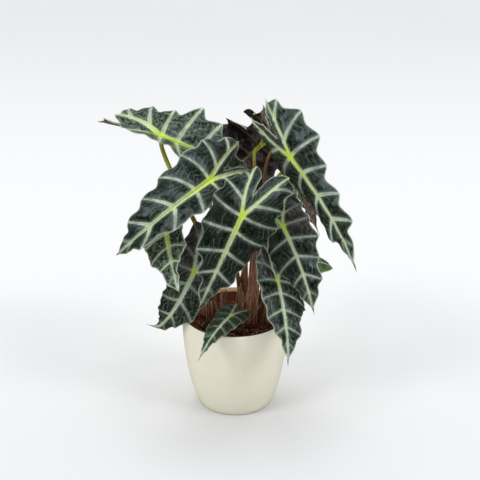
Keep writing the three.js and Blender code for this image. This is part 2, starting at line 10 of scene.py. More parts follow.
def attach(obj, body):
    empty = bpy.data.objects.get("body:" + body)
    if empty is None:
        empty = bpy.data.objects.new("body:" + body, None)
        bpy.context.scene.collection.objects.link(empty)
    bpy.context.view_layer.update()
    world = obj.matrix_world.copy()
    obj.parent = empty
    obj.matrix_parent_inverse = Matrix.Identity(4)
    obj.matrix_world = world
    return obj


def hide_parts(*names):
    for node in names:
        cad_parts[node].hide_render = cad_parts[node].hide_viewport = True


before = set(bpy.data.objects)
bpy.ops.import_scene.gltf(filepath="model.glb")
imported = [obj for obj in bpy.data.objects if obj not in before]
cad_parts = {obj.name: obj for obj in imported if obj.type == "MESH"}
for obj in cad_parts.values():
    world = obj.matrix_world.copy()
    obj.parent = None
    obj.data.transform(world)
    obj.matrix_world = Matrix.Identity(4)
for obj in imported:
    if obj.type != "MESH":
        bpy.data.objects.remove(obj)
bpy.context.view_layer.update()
mm = 0.001


# Shader nodes
def setSocket(tree, socket, value):
    if isinstance(value, bpy.types.NodeSocket):
        tree.links.new(value, socket)
    else:
        socket.default_value = value


def place(tree, kind, inputs=None, **settings):
    made = tree.nodes.new(kind)
    for key, value in settings.items():
        setattr(made, key, value)
    for key, value in (inputs or {}).items():
        setSocket(tree, made.inputs[key], value)
    return made


def maths(tree, operation, first, second=0.0):
    return place(tree, "ShaderNodeMath", {0: first, 1: second}, operation=operation).outputs[0]


def chained(tree, operation, values):
    result = values[0]
    for value in values[1:]:
        result = maths(tree, operation, result, value)
    return result


def plus(tree, *values):
    return chained(tree, "ADD", values)


def times(tree, *values):
    return chained(tree, "MULTIPLY", values)


def most(tree, *values):
    return chained(tree, "MAXIMUM", values)


def less(tree, first, second):
    return maths(tree, "SUBTRACT", first, second)


def ease(tree, value, low, high, start=0.0, end=1.0):
    inputs = {"Value": value, "From Min": low, "From Max": high, "To Min": start, "To Max": end}
    return place(tree, "ShaderNodeMapRange", inputs, interpolation_type="SMOOTHSTEP").outputs[0]


def spread(tree, pattern, start, end):
    # the middle range of a noise as a run from start to end
    return ease(tree, pattern, 0.3, 0.7, start, end)


def between(tree, share, first, second):
    return place(tree, "ShaderNodeMix", {0: share, 2: first, 3: second}).outputs[0]


def mixed(tree, share, first, second):
    # two colours
    return place(tree, "ShaderNodeMix", {0: share, 6: first, 7: second}, data_type="RGBA").outputs[2]


def noiseAt(tree, vector, scale, detail=2.0, roughness=0.5, stretch=(1, 1, 1)):
    moved = place(tree, "ShaderNodeMapping", {"Vector": vector, "Scale": stretch}).outputs[0]
    inputs = {"Vector": moved, "Scale": scale, "Detail": detail, "Roughness": roughness}
    return place(tree, "ShaderNodeTexNoise", inputs).outputs["Fac"]


def stored(tree, name):
    return place(tree, "ShaderNodeAttribute", attribute_name=name).outputs["Fac"]


def objectPlace(tree):
    return place(tree, "ShaderNodeTexCoord").outputs["Object"]


def axesOf(tree, vector):
    return place(tree, "ShaderNodeSeparateXYZ", {0: vector}).outputs


def bumped(tree, height, strength, distance):
    inputs = {"Height": height, "Strength": strength, "Distance": distance}
    return place(tree, "ShaderNodeBump", inputs).outputs[0]


def colour(red, green, blue):
    # sRGB 0 to 255 as a linear colour
    def linear(value):
        value = value / 255
        return value / 12.92 if value <= 0.04045 else ((value + 0.055) / 1.055) ** 2.4
    return (linear(red), linear(green), linear(blue), 1.0)


def newGroup(name, inputs, outputs):
    # inputs: name -> usual value, or "vector"; outputs: names of masks
    tree = bpy.data.node_groups.new(name, "ShaderNodeTree")
    for label, value in inputs.items():
        kind = "NodeSocketVector" if value == "vector" else "NodeSocketFloat"
        socket = tree.interface.new_socket(label, in_out="INPUT", socket_type=kind)
        if value != "vector":
            socket.default_value = value
    for label in outputs:
        tree.interface.new_socket(label, in_out="OUTPUT", socket_type="NodeSocketFloat")
    return tree, place(tree, "NodeGroupInput").outputs, place(tree, "NodeGroupOutput").inputs


def grouped(tree, group, **inputs):
    return place(tree, "ShaderNodeGroup", inputs, node_tree=group).outputs


def newMaterial(name, **plain):
    # plain: the shader's own sockets that are the same all over the surface
    material = bpy.data.materials.new(name)
    material.use_nodes = True
    tree = material.node_tree
    tree.nodes.clear()
    shader = place(tree, "ShaderNodeBsdfPrincipled")
    output = place(tree, "ShaderNodeOutputMaterial")
    tree.links.new(shader.outputs[0], output.inputs["Surface"])
    for key, value in plain.items():
        shader.inputs[key.replace("_", " ")].default_value = value
    return material, tree, shader


def wire(tree, shader, **sockets):
    for key, value in sockets.items():
        tree.links.new(value, shader.inputs[key.replace("_", " ")])


def finished(tree, shader, look, skin, pattern, height=None):
    # roughness follows the pattern, and so does the fine relief unless a height is given
    height = pattern if height is None else height
    wire(tree, shader, Base_Color=skin, Roughness=spread(tree, pattern, *look["rough"]),
         Normal=bumped(tree, height, *look["relief"]))


# Effects that several materials share
def makeMottle():
    # uneven colour at two scales, from 0 to 1
    tree, ins, outs = newGroup("mottle", {"Where": "vector", "Scale": 60.0, "Fine": 0.35}, ["Amount"])
    broad = noiseAt(tree, ins["Where"], ins["Scale"])
    fine = noiseAt(tree, ins["Where"], times(tree, ins["Scale"], 6.5), 3.0)
    tree.links.new(spread(tree, between(tree, ins["Fine"], broad, fine), 0.0, 1.0), outs["Amount"])
    return tree


def makeNetVeins():
    # fine lines that run from each primary vein towards the next and arch to the margin
    given = {"Station": 0.0, "Along": 0.0, "Slant": 0.9, "Width": 0.08, "Wander": 0.0}
    tree, ins, outs = newGroup("netVeins", given, ["Lines", "Quilt"])
    fromMiddle = maths(tree, "ABSOLUTE", less(tree, maths(tree, "FRACT", ins["Station"]), 0.5))
    fromVein = less(tree, 0.5, fromMiddle)
    arch = times(tree, maths(tree, "POWER", times(tree, fromVein, 2.0), 0.7), ins["Slant"])
    along = less(tree, plus(tree, ins["Along"], ins["Wander"]), arch)
    start = times(tree, maths(tree, "FLOOR", ins["Station"]), 0.37)   # another one in each field
    wave = less(tree, maths(tree, "FRACT", plus(tree, along, start)), 0.5)
    wave = maths(tree, "ABSOLUTE", wave)
    tree.links.new(ease(tree, wave, 0.0, ins["Width"], 1.0, 0.0), outs["Lines"])
    tree.links.new(ease(tree, wave, 0.0, 0.5), outs["Quilt"])
    return tree


mottle = makeMottle()
netVeins = makeNetVeins()


# Materials
bladeTip = 8   # station of a blade's tip; stations count the primary veins from the lobe's tip
leafLook = {
    # the second blade colour is a painted bluish sheen, laid over the blade in cloudy patches
    "dark": colour(7, 14, 8), "paintedSheenBlue": colour(20, 33, 26), "light": colour(152, 170, 136),
    "wine": colour(62, 46, 46), "fresh": colour(40, 70, 18), "freshPale": colour(80, 106, 56),
    "silver": colour(188, 201, 186), "silverDim": colour(150, 166, 148), "lime": colour(202, 228, 80),
    "paleRib": colour(200, 215, 162), "netVein": colour(136, 150, 126), "veinMiddle": colour(104, 124, 88),
    "ribLine": colour(144, 170, 90), "edge": colour(190, 204, 180), "edgeDim": colour(150, 150, 128),
    "tail": colour(58, 58, 40), "under": colour(20, 9, 10), "underVeinAndHighlight": colour(104, 86, 84),
    "underVein": colour(112, 104, 62), "underPaleAndHighlight": colour(160, 134, 128),
    "gloss": 0.5, "reliefDepth": 0.0012,
    # sizes of the patterns, in periods a metre
    "cloudScale": 38.0, "wornScale": 48.0, "puckerScale": 48.0, "crumpleScale": 60.0, "wanderScale": 60.0,
    "patchScale": 75.0, "youngScale": 90.0, "silverScale": 130.0, "fleckScale": 190.0, "frostScale": 260.0,
    "fuzzScale": 420.0, "grainScale": 1400.0,
    # millimetres into a vein, a rib or the margin where a colour starts and where it is full
    "bloomEdge": (-4.5, -0.6), "veinEdge": (-1.1, 0.7), "ribEdge": (-1.4, 0.8), "rimEdge": (0.2, 1.5),
    "underEdge": (-0.4, 0.8), "fuzz": 2.6,
    # shares of the colours that lie over the blade, and how far the fine veins wander
    "bloom": 0.17, "net": 0.55, "rim": 0.75, "rib": 0.95, "underNet": 0.25, "wander": 1.6,
}
leafMarks = ("tone", "wine", "fresh", "veinShow", "limeReach", "netShow", "station", "along", "veinBand",
             "veinGap", "ribBand", "ribGap", "edgeInset", "jointShare")


def bladeSkin(tree, where, marks, cloud, fuzz, netLines):
    # the blade between the veins: dark, with cloudy patches of painted bluish sheen; a wine tint near the
    # joint, partly painted shade; grey along veins and margin; pale specks that partly paint sparkle
    look = leafLook
    skin = mixed(tree, cloud, look["dark"], look["paintedSheenBlue"])
    # wine tint near the joint: partly the blade's colour, partly painted shade and a painted maroon
    # reflection of the leaves nearby
    wine = times(tree, marks["wine"], ease(tree, cloud, 0.0, 1.0, 0.4, 1.0))
    skin = mixed(tree, wine, skin, look["wine"])
    nearest = most(tree, marks["ribBand"], marks["veinBand"], less(tree, 0.0, marks["edgeInset"]))
    bloom = ease(tree, plus(tree, nearest, fuzz), *look["bloomEdge"], 0.0, look["bloom"])
    skin = mixed(tree, times(tree, bloom, marks["veinShow"]), skin, look["silverDim"])
    # pale specks, partly a painted sparkle of the glossy blade, as strong as the leaf's tone
    speckleAndSparkle = ease(tree, noiseAt(tree, where, look["frostScale"], 5.0, 0.72), 0.46, 0.6)
    skin = mixed(tree, times(tree, marks["tone"], speckleAndSparkle), skin, look["light"])
    young = ease(tree, noiseAt(tree, where, look["youngScale"]), 0.4, 0.6)
    skin = mixed(tree, marks["fresh"], skin, mixed(tree, young, look["fresh"], look["freshPale"]))
    patches = ease(tree, noiseAt(tree, where, look["patchScale"]), 0.42, 0.6, 0.0, look["net"])
    return mixed(tree, times(tree, netLines, times(tree, patches, marks["netShow"])), skin, look["netVein"])


def veinSkin(tree, where, marks):
    # primary veins: silver, greener towards the rib, with a fine middle line
    look = leafLook
    shine = ease(tree, noiseAt(tree, where, look["silverScale"], 3.0), 0.38, 0.6)
    skin = mixed(tree, shine, look["silverDim"], look["silver"])
    greener = most(tree, ease(tree, marks["ribBand"], -10.0, -1.0, 0.0, 0.7),
                   ease(tree, marks["limeReach"], 0.4, 0.7, 0.0, 0.6))
    skin = mixed(tree, greener, skin, look["paleRib"])
    return mixed(tree, ease(tree, marks["veinGap"], 0.12, 0.55, 0.5, 0.0), skin, look["veinMiddle"])


def veinShare(tree, where, marks, fuzz):
    # where the primary veins show: broken in strength, weak on wine-coloured blades and near the tip
    look = leafLook
    worn = times(tree, ease(tree, noiseAt(tree, where, look["wornScale"], 3.0), 0.36, 0.6, 0.76, 1.0),
                 ease(tree, marks["wine"], 0.0, 0.8, 1.0, 0.68),
                 ease(tree, marks["station"], bladeTip - 1.6, bladeTip - 1.0, 1.0, 0.4))
    vein = ease(tree, plus(tree, marks["veinBand"], fuzz), *look["veinEdge"])
    return times(tree, vein, worn, marks["veinShow"])


def ribSkin(tree, where, marks):
    # midrib and the lobes' ribs: lime near the joint, paler and greyer further out, with two fine lines
    look = leafLook
    flecks = ease(tree, noiseAt(tree, where, look["fleckScale"], 3.0), 0.45, 0.7, 0.0, 0.4)
    skin = mixed(tree, flecks, look["paleRib"], look["silverDim"])
    greyer = most(tree, ease(tree, marks["limeReach"], 0.1, 0.4, 0.6, 0.0),
                  ease(tree, marks["jointShare"], 0.35, 0.8, 0.0, 0.6))
    skin = mixed(tree, greyer, skin, look["silver"])
    reach = times(tree, ease(tree, marks["station"], 2.2, 3.2, 0.35, 1.0), marks["limeReach"])
    lime = ease(tree, maths(tree, "DIVIDE", marks["jointShare"], reach), 0.05, 1.0, 0.8, 0.0)
    skin = mixed(tree, lime, skin, look["lime"])
    fromLine = maths(tree, "ABSOLUTE", less(tree, marks["ribGap"], 0.55))
    return mixed(tree, ease(tree, fromLine, 0.1, 0.4, 0.2, 0.0), skin, look["ribLine"])


def makeLeafUpper():
    look = leafLook
    material, tree, shader = newMaterial("leafUpper", Specular_IOR_Level=look["gloss"])
    where = objectPlace(tree)
    marks = {name: stored(tree, name) for name in leafMarks}
    cloud = grouped(tree, mottle, Where=where, Scale=look["cloudScale"], Fine=0.2)[0]
    fuzz = times(tree, less(tree, noiseAt(tree, where, look["fuzzScale"], 4.0, 0.6), 0.5), look["fuzz"])
    wander = times(tree, noiseAt(tree, where, look["wanderScale"]), look["wander"])
    net = grouped(tree, netVeins, Station=marks["station"], Along=marks["along"], Wander=wander)
    veins = veinShare(tree, where, marks, fuzz)
    skin = bladeSkin(tree, where, marks, cloud, fuzz, net["Lines"])
    skin = mixed(tree, veins, skin, veinSkin(tree, where, marks))
    ribs = ease(tree, plus(tree, marks["ribBand"], fuzz), *look["ribEdge"], 0.0, look["rib"])
    skin = mixed(tree, ribs, skin, ribSkin(tree, where, marks))
    # lime heart at the joint, pale margin, dark drip tail
    heart = times(tree, ease(tree, marks["jointShare"], 0.015, 0.06, 1.0, 0.0),
                  ease(tree, most(tree, marks["ribBand"], marks["veinBand"]), -0.6, 0.8))
    skin = mixed(tree, heart, skin, look["lime"])
    inset = plus(tree, marks["edgeInset"], times(tree, fuzz, 0.4))
    rim = ease(tree, inset, *look["rimEdge"], look["rim"], 0.0)
    rim = times(tree, rim, ease(tree, marks["veinShow"], 0.3, 0.8, 0.35, 1.0))
    skin = mixed(tree, rim, skin, look["edge"])
    skin = mixed(tree, ease(tree, marks["station"], bladeTip - 0.5, bladeTip - 0.2), skin, look["tail"])
    rough = between(tree, veins, ease(tree, cloud, 0.0, 1.0, 0.24, 0.34), 0.5)
    height = less(tree, times(tree, net["Quilt"], 0.12), times(tree, veins, 0.4))
    height = plus(tree, height, times(tree, noiseAt(tree, where, look["puckerScale"], 1.0, 0.4), 6.0),
                  times(tree, noiseAt(tree, where, look["grainScale"]), 0.08))
    wire(tree, shader, Base_Color=skin, Roughness=rough,
         Normal=bumped(tree, height, 0.8, look["reliefDepth"]))
    return material


def makeLeafUnder():
    # dark purple, crumpled, with painted highlights on the crumples' ridges, dull veins and a green joint
    look = leafLook
    material, tree, shader = newMaterial("leafUnder", Specular_IOR_Level=look["gloss"])
    where = objectPlace(tree)
    crumple = noiseAt(tree, where, look["crumpleScale"], 3.0, 0.6)
    fine = noiseAt(tree, where, look["frostScale"], 3.0, 0.6)
    # painted highlight: the lighter colour lies where the crumple noise raises the relief
    skin = mixed(tree, ease(tree, crumple, 0.42, 0.66), look["under"], look["underVeinAndHighlight"])
    frosted = ease(tree, stored(tree, "tone"), 0.1, 0.6, 0.0, 0.9)
    # pale mauve on the ridges of frosted blades, partly the underside's colour and partly a painted
    # highlight
    pale = times(tree, frosted, ease(tree, crumple, 0.36, 0.56))
    skin = mixed(tree, pale, skin, look["underPaleAndHighlight"])
    skin = mixed(tree, ease(tree, fine, 0.45, 0.65, 0.0, 0.6), skin, look["under"])
    net = grouped(tree, netVeins, Station=stored(tree, "station"), Along=stored(tree, "along"))
    skin = mixed(tree, times(tree, net["Lines"], look["underNet"]), skin, look["underVeinAndHighlight"])
    veins = ease(tree, stored(tree, "veinBand"), *look["underEdge"], 0.0, 0.35)
    skin = mixed(tree, veins, skin, look["underVein"])
    nearJoint = ease(tree, stored(tree, "jointShare"), 0.02, 0.14, 1.0, 0.0)
    ribs = ease(tree, stored(tree, "ribBand"), *look["underEdge"], 0.0, 0.85)
    skin = mixed(tree, ribs, skin, mixed(tree, nearJoint, look["underVein"], look["lime"]))
    height = plus(tree, times(tree, net["Lines"], 0.6), times(tree, veins, 1.2), times(tree, crumple, 9.0),
                  times(tree, fine, 1.2))
    wire(tree, shader, Base_Color=skin, Roughness=spread(tree, crumple, 0.3, 0.46),
         Normal=bumped(tree, height, 0.9, look["reliefDepth"]))
    return material


def makeLeafEdge():
    material, tree, shader = newMaterial("leafEdge", Roughness=0.5)
    cloud = grouped(tree, mottle, Where=objectPlace(tree), Scale=150.0, Fine=0.4)[0]
    wire(tree, shader, Base_Color=mixed(tree, cloud, leafLook["edgeDim"], leafLook["edge"]))
    return material


# In the looks from here on, scale is the fine pattern's in periods a metre, rough is the roughness
# where that pattern is low and high, and relief is the strength and the depth in metres.
stalkLook = {"foot": colour(112, 72, 48), "middle": colour(146, 108, 64), "top": colour(168, 176, 56),
             "fleck": colour(80, 50, 34), "flecks": 0.55, "toMiddle": (0.1, 0.6), "toTop": (0.55, 0.95),
             "blur": 0.12, "blurScale": 90.0, "scale": 420.0,
             "gloss": 0.45, "rough": (0.36, 0.5), "relief": (0.35, 0.0004)}
rolledLook = {**stalkLook, "foot": colour(96, 92, 44), "middle": colour(86, 112, 44),
              "top": colour(98, 138, 52), "fleck": colour(66, 84, 34)}


def makeStalk(name, look):
    # brown at the foot, green at the top, with fine lengthwise flecks
    material, tree, shader = newMaterial(name, Specular_IOR_Level=look["gloss"])
    where = objectPlace(tree)
    blur = times(tree, less(tree, noiseAt(tree, where, look["blurScale"]), 0.5), look["blur"])
    rise = plus(tree, stored(tree, "rise"), blur)
    skin = mixed(tree, ease(tree, rise, *look["toMiddle"]), look["foot"], look["middle"])
    skin = mixed(tree, ease(tree, rise, *look["toTop"]), skin, look["top"])
    streaks = noiseAt(tree, where, look["scale"], 3.0, 0.6, (1, 1, 0.12))
    skin = mixed(tree, ease(tree, streaks, 0.52, 0.72, 0.0, look["flecks"]), skin, look["fleck"])
    finished(tree, shader, look, skin, streaks)
    return material


# fineness of the fibres is across the strap, along it and from one strap to the next
sheathLook = {"dark": colour(58, 28, 17), "brown": colour(206, 144, 112), "pale": colour(246, 212, 178),
              "fineness": (9.0, 1.6, 7.0), "fibres": 1.6, "broad": 0.55, "edge": (0.86, 0.98),
              "gloss": 0.3, "rough": (0.75, 0.55), "relief": (0.8, 0.0009)}


def makeSheath():
    # dry fibres that run up the strap; pale at its edges, partly papery edges and partly a painted
    # highlight along them
    look = sheathLook
    material, tree, shader = newMaterial("drySheath", Specular_IOR_Level=look["gloss"])
    marks = [stored(tree, name) for name in ("across", "rise", "tone")]
    lines = {k: times(tree, mark, look["fineness"][k]) for k, mark in enumerate(marks)}
    lines = place(tree, "ShaderNodeCombineXYZ", lines).outputs[0]
    fibres = noiseAt(tree, lines, look["fibres"], 4.0, 0.65)
    broad = noiseAt(tree, lines, look["broad"], 2.0, 0.5)
    streaks = plus(tree, times(tree, fibres, 0.55), times(tree, broad, 0.45))
    skin = mixed(tree, ease(tree, streaks, 0.4, 0.55), look["dark"], look["brown"])
    skin = mixed(tree, ease(tree, streaks, 0.54, 0.64, 0.0, 0.75), skin, look["pale"])
    cloud = grouped(tree, mottle, Where=objectPlace(tree), Scale=70.0, Fine=0.3)[0]
    skin = mixed(tree, times(tree, cloud, 0.35), skin, look["dark"])
    # pale edges: partly the strap's own colour, partly a painted highlight
    edge = ease(tree, maths(tree, "ABSOLUTE", marks[0]), *look["edge"])
    skin = mixed(tree, times(tree, edge, 0.75), skin, look["pale"])
    finished(tree, shader, look, skin, fibres)
    return material


strandLook = {"brown": colour(122, 84, 56), "straw": colour(196, 164, 124), "scale": 300.0,
              "gloss": 0.3, "rough": (0.6, 0.8), "relief": (0.5, 0.0004)}


def makeStrand():
    look = strandLook
    material, tree, shader = newMaterial("dryStrand", Specular_IOR_Level=look["gloss"])
    streaks = noiseAt(tree, objectPlace(tree), look["scale"], 3.0, 0.6, (1, 1, 0.2))
    skin = mixed(tree, ease(tree, streaks, 0.35, 0.65), look["brown"], look["straw"])
    finished(tree, shader, look, skin, streaks)
    return material


soilLook = {"black": colour(34, 15, 8), "brown": colour(136, 84, 56), "red": colour(200, 126, 86),
            "pale": colour(222, 184, 144), "threadScale": 420.0, "threads": 0.6, "scale": 260.0,
            "gloss": 0.25, "rough": (0.95, 0.7), "relief": (1.0, 0.003)}
crumbLook = {**soilLook, "scale": 700.0, "rough": (0.9, 0.65), "relief": (0.8, 0.0015)}


def makeSoil():
    look = soilLook
    material, tree, shader = newMaterial("peat", Specular_IOR_Level=look["gloss"])
    where = objectPlace(tree)
    lumps = noiseAt(tree, where, look["scale"], 5.0, 0.7)
    skin = mixed(tree, ease(tree, lumps, 0.38, 0.62), look["black"], look["brown"])
    threads = noiseAt(tree, where, look["threadScale"], 2.0, 0.5, (1, 0.25, 1))
    skin = mixed(tree, ease(tree, threads, 0.6, 0.72, 0.0, look["threads"]), skin, look["red"])
    finished(tree, shader, look, skin, lumps)
    return material


def makeCrumb():
    # crumbs and fibres from black to pale by their own tone
    look = crumbLook
    material, tree, shader = newMaterial("peatCrumb", Specular_IOR_Level=look["gloss"])
    tone, lumps = stored(tree, "tone"), noiseAt(tree, objectPlace(tree), look["scale"], 3.0, 0.6)
    skin = mixed(tree, ease(tree, tone, 0.45, 0.8), look["black"], look["brown"])
    skin = mixed(tree, ease(tree, tone, 0.78, 0.9), skin, look["red"])
    skin = mixed(tree, ease(tree, tone, 0.93, 0.97), skin, look["pale"])
    skin = mixed(tree, ease(tree, lumps, 0.45, 0.7, 0.0, 0.5), skin, look["black"])
    finished(tree, shader, look, skin, lumps)
    return material


creamLook = {"main": colour(238, 233, 213), "shade": colour(235, 229, 207),
             "cloudScale": 14.0, "waveScale": 18.0, "grainScale": 1800.0, "grain": 0.3,
             "gloss": 0.4, "rough": (0.38, 0.47), "relief": (0.12, 0.0008)}


def makeCreamPlastic():
    # smooth moulded plastic with a faint grain and slow waves
    look = creamLook
    material, tree, shader = newMaterial("creamPlastic", Specular_IOR_Level=look["gloss"])
    where = objectPlace(tree)
    cloud = grouped(tree, mottle, Where=where, Scale=look["cloudScale"], Fine=0.25)[0]
    skin = mixed(tree, cloud, look["main"], look["shade"])
    waves = noiseAt(tree, where, look["waveScale"], 2.0, 0.5, (1, 1, 2.5))
    grain = times(tree, noiseAt(tree, where, look["grainScale"]), look["grain"])
    finished(tree, shader, look, skin, waves, plus(tree, grain, waves))
    return material


# the rim colour is painted light on the lit rim at the back, the inside colour painted shade below it
terracottaLook = {"main": colour(196, 122, 88), "shade": colour(178, 100, 72), "rim": colour(248, 212, 172),
                  "inside": colour(84, 16, 8), "peat": colour(44, 22, 14),
                  # the rim's slope, then heights and places from the middle to the back, in metres
                  "lean": 0.052, "insideBelow": (0.1255, 0.1275),
                  "litRimFrom": (0.03, 0.05), "darkFrontTo": (0.0, 0.06),
                  "cloudScale": 30.0, "scale": 240.0,
                  "gloss": 0.35, "rough": (0.45, 0.6), "relief": (0.15, 0.0006)}


def makeTerracottaPlastic():
    # painted light on the rim at the back, painted dark red shade below the top band, peat-dark over the
    # front and middle
    look = terracottaLook
    material, tree, shader = newMaterial("terracottaPlastic", Specular_IOR_Level=look["gloss"])
    where = objectPlace(tree)
    parts = axesOf(tree, where)
    fine = noiseAt(tree, where, look["scale"], 4.0, 0.6)
    cloud = grouped(tree, mottle, Where=where, Scale=look["cloudScale"], Fine=0.3)[0]
    skin = mixed(tree, cloud, look["main"], look["shade"])
    # painted light: the back of the pot is paler, for its lit rim
    skin = mixed(tree, ease(tree, parts[1], *look["litRimFrom"], 0.0, 0.9), skin, look["rim"])
    height = less(tree, parts[2], times(tree, parts[1], look["lean"]))
    # painted shade: dark red below the top band, for the shade inside the pot
    inside = times(tree, ease(tree, height, *look["insideBelow"], 1.0, 0.0), 0.95)
    skin = mixed(tree, inside, skin, look["inside"])
    # peat-dark over the front and middle, all but the back
    darkFront = ease(tree, plus(tree, parts[1], times(tree, fine, 0.05)), *look["darkFrontTo"], 0.95, 0.0)
    skin = mixed(tree, darkFront, skin, look["peat"])
    finished(tree, shader, look, skin, fine)
    return material


# the floor's colours paint the light's fall-off: darker far away and near the viewer
floorLook = {"near": colour(212, 212, 212), "middle": colour(218, 218, 217), "far": colour(202, 202, 203),
             "toMiddle": (-0.35, 0.35), "toFar": (0.5, 2.6), "gloss": 0.2, "rough": (0.85, 0.95)}


def makeFloor():
    # painted light: paler behind the plant than far away and close to the viewer, for the fall-off of the
    # studio light and the shade in front
    look = floorLook
    material, tree, shader = newMaterial("studioFloor", Specular_IOR_Level=look["gloss"])
    where = objectPlace(tree)
    depth, cloud = axesOf(tree, where)[1], noiseAt(tree, where, 1.2, 2.0)
    skin = mixed(tree, ease(tree, depth, *look["toMiddle"]), look["near"], look["middle"])
    skin = mixed(tree, ease(tree, depth, *look["toFar"]), skin, look["far"])
    skin = mixed(tree, times(tree, cloud, 0.1), skin, look["near"])
    wire(tree, shader, Base_Color=skin, Roughness=spread(tree, cloud, *look["rough"]))
    return material


leafUpper, leafUnder, leafEdge = makeLeafUpper(), makeLeafUnder(), makeLeafEdge()
stalkSkin, rolledSkin = makeStalk("leafStalk", stalkLook), makeStalk("rolledLeafSkin", rolledLook)
drySheath, dryStrand = makeSheath(), makeStrand()
peat, peatCrumb = makeSoil(), makeCrumb()
creamPlastic, terracottaPlastic = makeCreamPlastic(), makeTerracottaPlastic()
print("materials made")


# Meshes
def newPiece(name, points, faces, materials, slotName, values=None, faceMaterials=None):
    # points in millimetres; values: name -> one number a point, kept on the mesh for its material
    mesh = bpy.data.meshes.new(name)
    mesh.from_pydata((np.asarray(points) * mm).tolist(), [], faces)
    for material in materials:
        mesh.materials.append(material)
    for key, numbers in (values or {}).items():
        layer = mesh.attributes.new(key, "FLOAT", "POINT")
        layer.data.foreach_set("value", np.ascontiguousarray(numbers, np.float32))
    if faceMaterials is not None:
        mesh.polygons.foreach_set("material_index", faceMaterials)
    mesh.polygons.foreach_set("use_smooth", [True] * len(mesh.polygons))
    mesh.update()
    piece = bpy.data.objects.new(name, mesh)
    bpy.context.scene.collection.objects.link(piece)
    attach(piece, "root")
    return piece


def circle(radius, sides):
    angles = [2 * math.pi * k / sides for k in range(sides)]
    return [(radius * math.cos(angle), radius * math.sin(angle)) for angle in angles]


def gridFaces(rows, columns, start=0, flip=False):
    faces = []
    for row in range(rows - 1):
        for column in range(columns - 1):
            a = start + row * columns + column
            quad = (a, a + 1, a + columns + 1, a + columns)
            faces.append(quad[::-1] if flip else quad)
    return faces


def stitched(rings):
    # faces between rings of point numbers; a ring that repeats one point closes the body
    faces = []
    for low, high in zip(rings, rings[1:]):
        for k in range(len(low)):
            n = (k + 1) % len(low)
            faces.append(tuple(dict.fromkeys((low[k], low[n], high[n], high[k]))))
    return faces


def gathered(bodies):
    # points and faces of many bodies as those of one mesh
    points, faces, count = [], [], 0
    for some, quads in bodies:
        points.append(some)
        faces += [tuple(count + k for k in quad) for quad in quads]
        count += len(some)
    return np.vstack(points), faces


def welded(points, faces, values):
    # equal points become one, quads that lose a corner become triangles
    key = np.round(points * 1000).astype(np.int64)
    _, first, index = np.unique(key, axis=0, return_index=True, return_inverse=True)
    index = index.reshape(-1)
    kept = []
    for face in faces:
        corners = list(dict.fromkeys(int(index[k]) for k in face))
        if len(corners) > 2:
            kept.append(tuple(corners))
    return points[first], kept, {name: numbers[first] for name, numbers in values.items()}


def pointNormals(points, faces):
    normals = np.zeros_like(points)
    for size in (3, 4):
        some = np.array([f for f in faces if len(f) == size])
        if not len(some):
            continue
        corner = points[some]
        across = np.cross(corner[:, 2] - corner[:, 0], corner[:, -1] - corner[:, 1])
        for k in range(size):
            np.add.at(normals, some[:, k], across)
    return normals / np.maximum(np.linalg.norm(normals, axis=1, keepdims=True), 1e-12)


def solidSheet(points, faces, upper, lower):
    # closed thin body: upper and lower are offsets in millimetres, one a point
    normals = pointNormals(points, faces)
    count = len(points)
    both = np.vstack([points + normals * upper[:, None], points - normals * lower[:, None]])
    edges = {}
    for face in faces:
        for a, b in zip(face, face[1:] + face[:1]):
            if (b, a) in edges:
                del edges[(b, a)]
            else:
                edges[(a, b)] = True
    rims = [(b, a, a + count, b + count) for a, b in edges]
    allFaces = faces + [tuple(k + count for k in face[::-1]) for face in faces] + rims
    kinds = [0] * len(faces) + [1] * len(faces) + [2] * len(rims)
    return both, allFaces, kinds


def turnedBody(profile, sides):
    # closed body of revolution from radius and height pairs that start and end on the axis
    points, rings = [], []
    for radius, height in profile:
        if radius == 0:
            rings.append([len(points)] * sides)
            points.append((0, 0, height))
            continue
        rings.append(range(len(points), len(points) + sides))
        points += [(x, y, height) for x, y in circle(radius, sides)]
    return np.array(points, float), stitched(rings)


def smoothLine(points, steps):
    # centripetal Catmull-Rom curve through the points, at even steps of its length
    points = np.array(points, float)
    line = []
    for i in range(len(points) - 1):
        b, c = points[i], points[i + 1]
        a = points[i - 1] if i else 2 * b - c
        d = points[i + 2] if i + 2 < len(points) else 2 * c - b
        ab, bc, cd = (max(math.sqrt(np.linalg.norm(q - p)), 1e-4) for p, q in ((a, b), (b, c), (c, d)))
        go = ((b - a) / ab - (c - a) / (ab + bc) + (c - b) / bc) * bc
        come = ((c - b) / bc - (d - b) / (bc + cd) + (d - c) / cd) * bc
        for t in np.linspace(0, 1, 40, endpoint=False):
            line.append(b + go * t + (3 * (c - b) - 2 * go - come) * t ** 2
                        + (2 * (b - c) + go + come) * t ** 3)
    line = np.array(line + [points[-1]])
    gone = np.concatenate([[0], np.cumsum(np.linalg.norm(np.diff(line, axis=0), axis=1))])
    even = np.linspace(0, gone[-1], steps + 1)
    return np.stack([np.interp(even, gone, line[:, k]) for k in range(3)], 1)


def tube(line, radii, sides):
    # round bar along a line, closed at both ends; also how far along it each point is, 0 to 1
    heading = np.gradient(line, axis=0)
    heading /= np.linalg.norm(heading, axis=1, keepdims=True)
    side = np.cross(heading[0], (0.3, 1, 0.2))
    points = []
    for k, centre in enumerate(line):
        side = side - heading[k] * side.dot(heading[k])
        side /= np.linalg.norm(side)
        other = np.cross(heading[k], side)
        points += [centre + radii[k] * (x * side + y * other) for x, y in circle(1, sides)]
    rings = [range(k * sides, (k + 1) * sides) for k in range(len(line))]
    faces = stitched(rings) + [tuple(rings[0])[::-1], tuple(rings[-1])]
    return np.array(points), faces, np.repeat(np.linspace(0, 1, len(line)), sides)


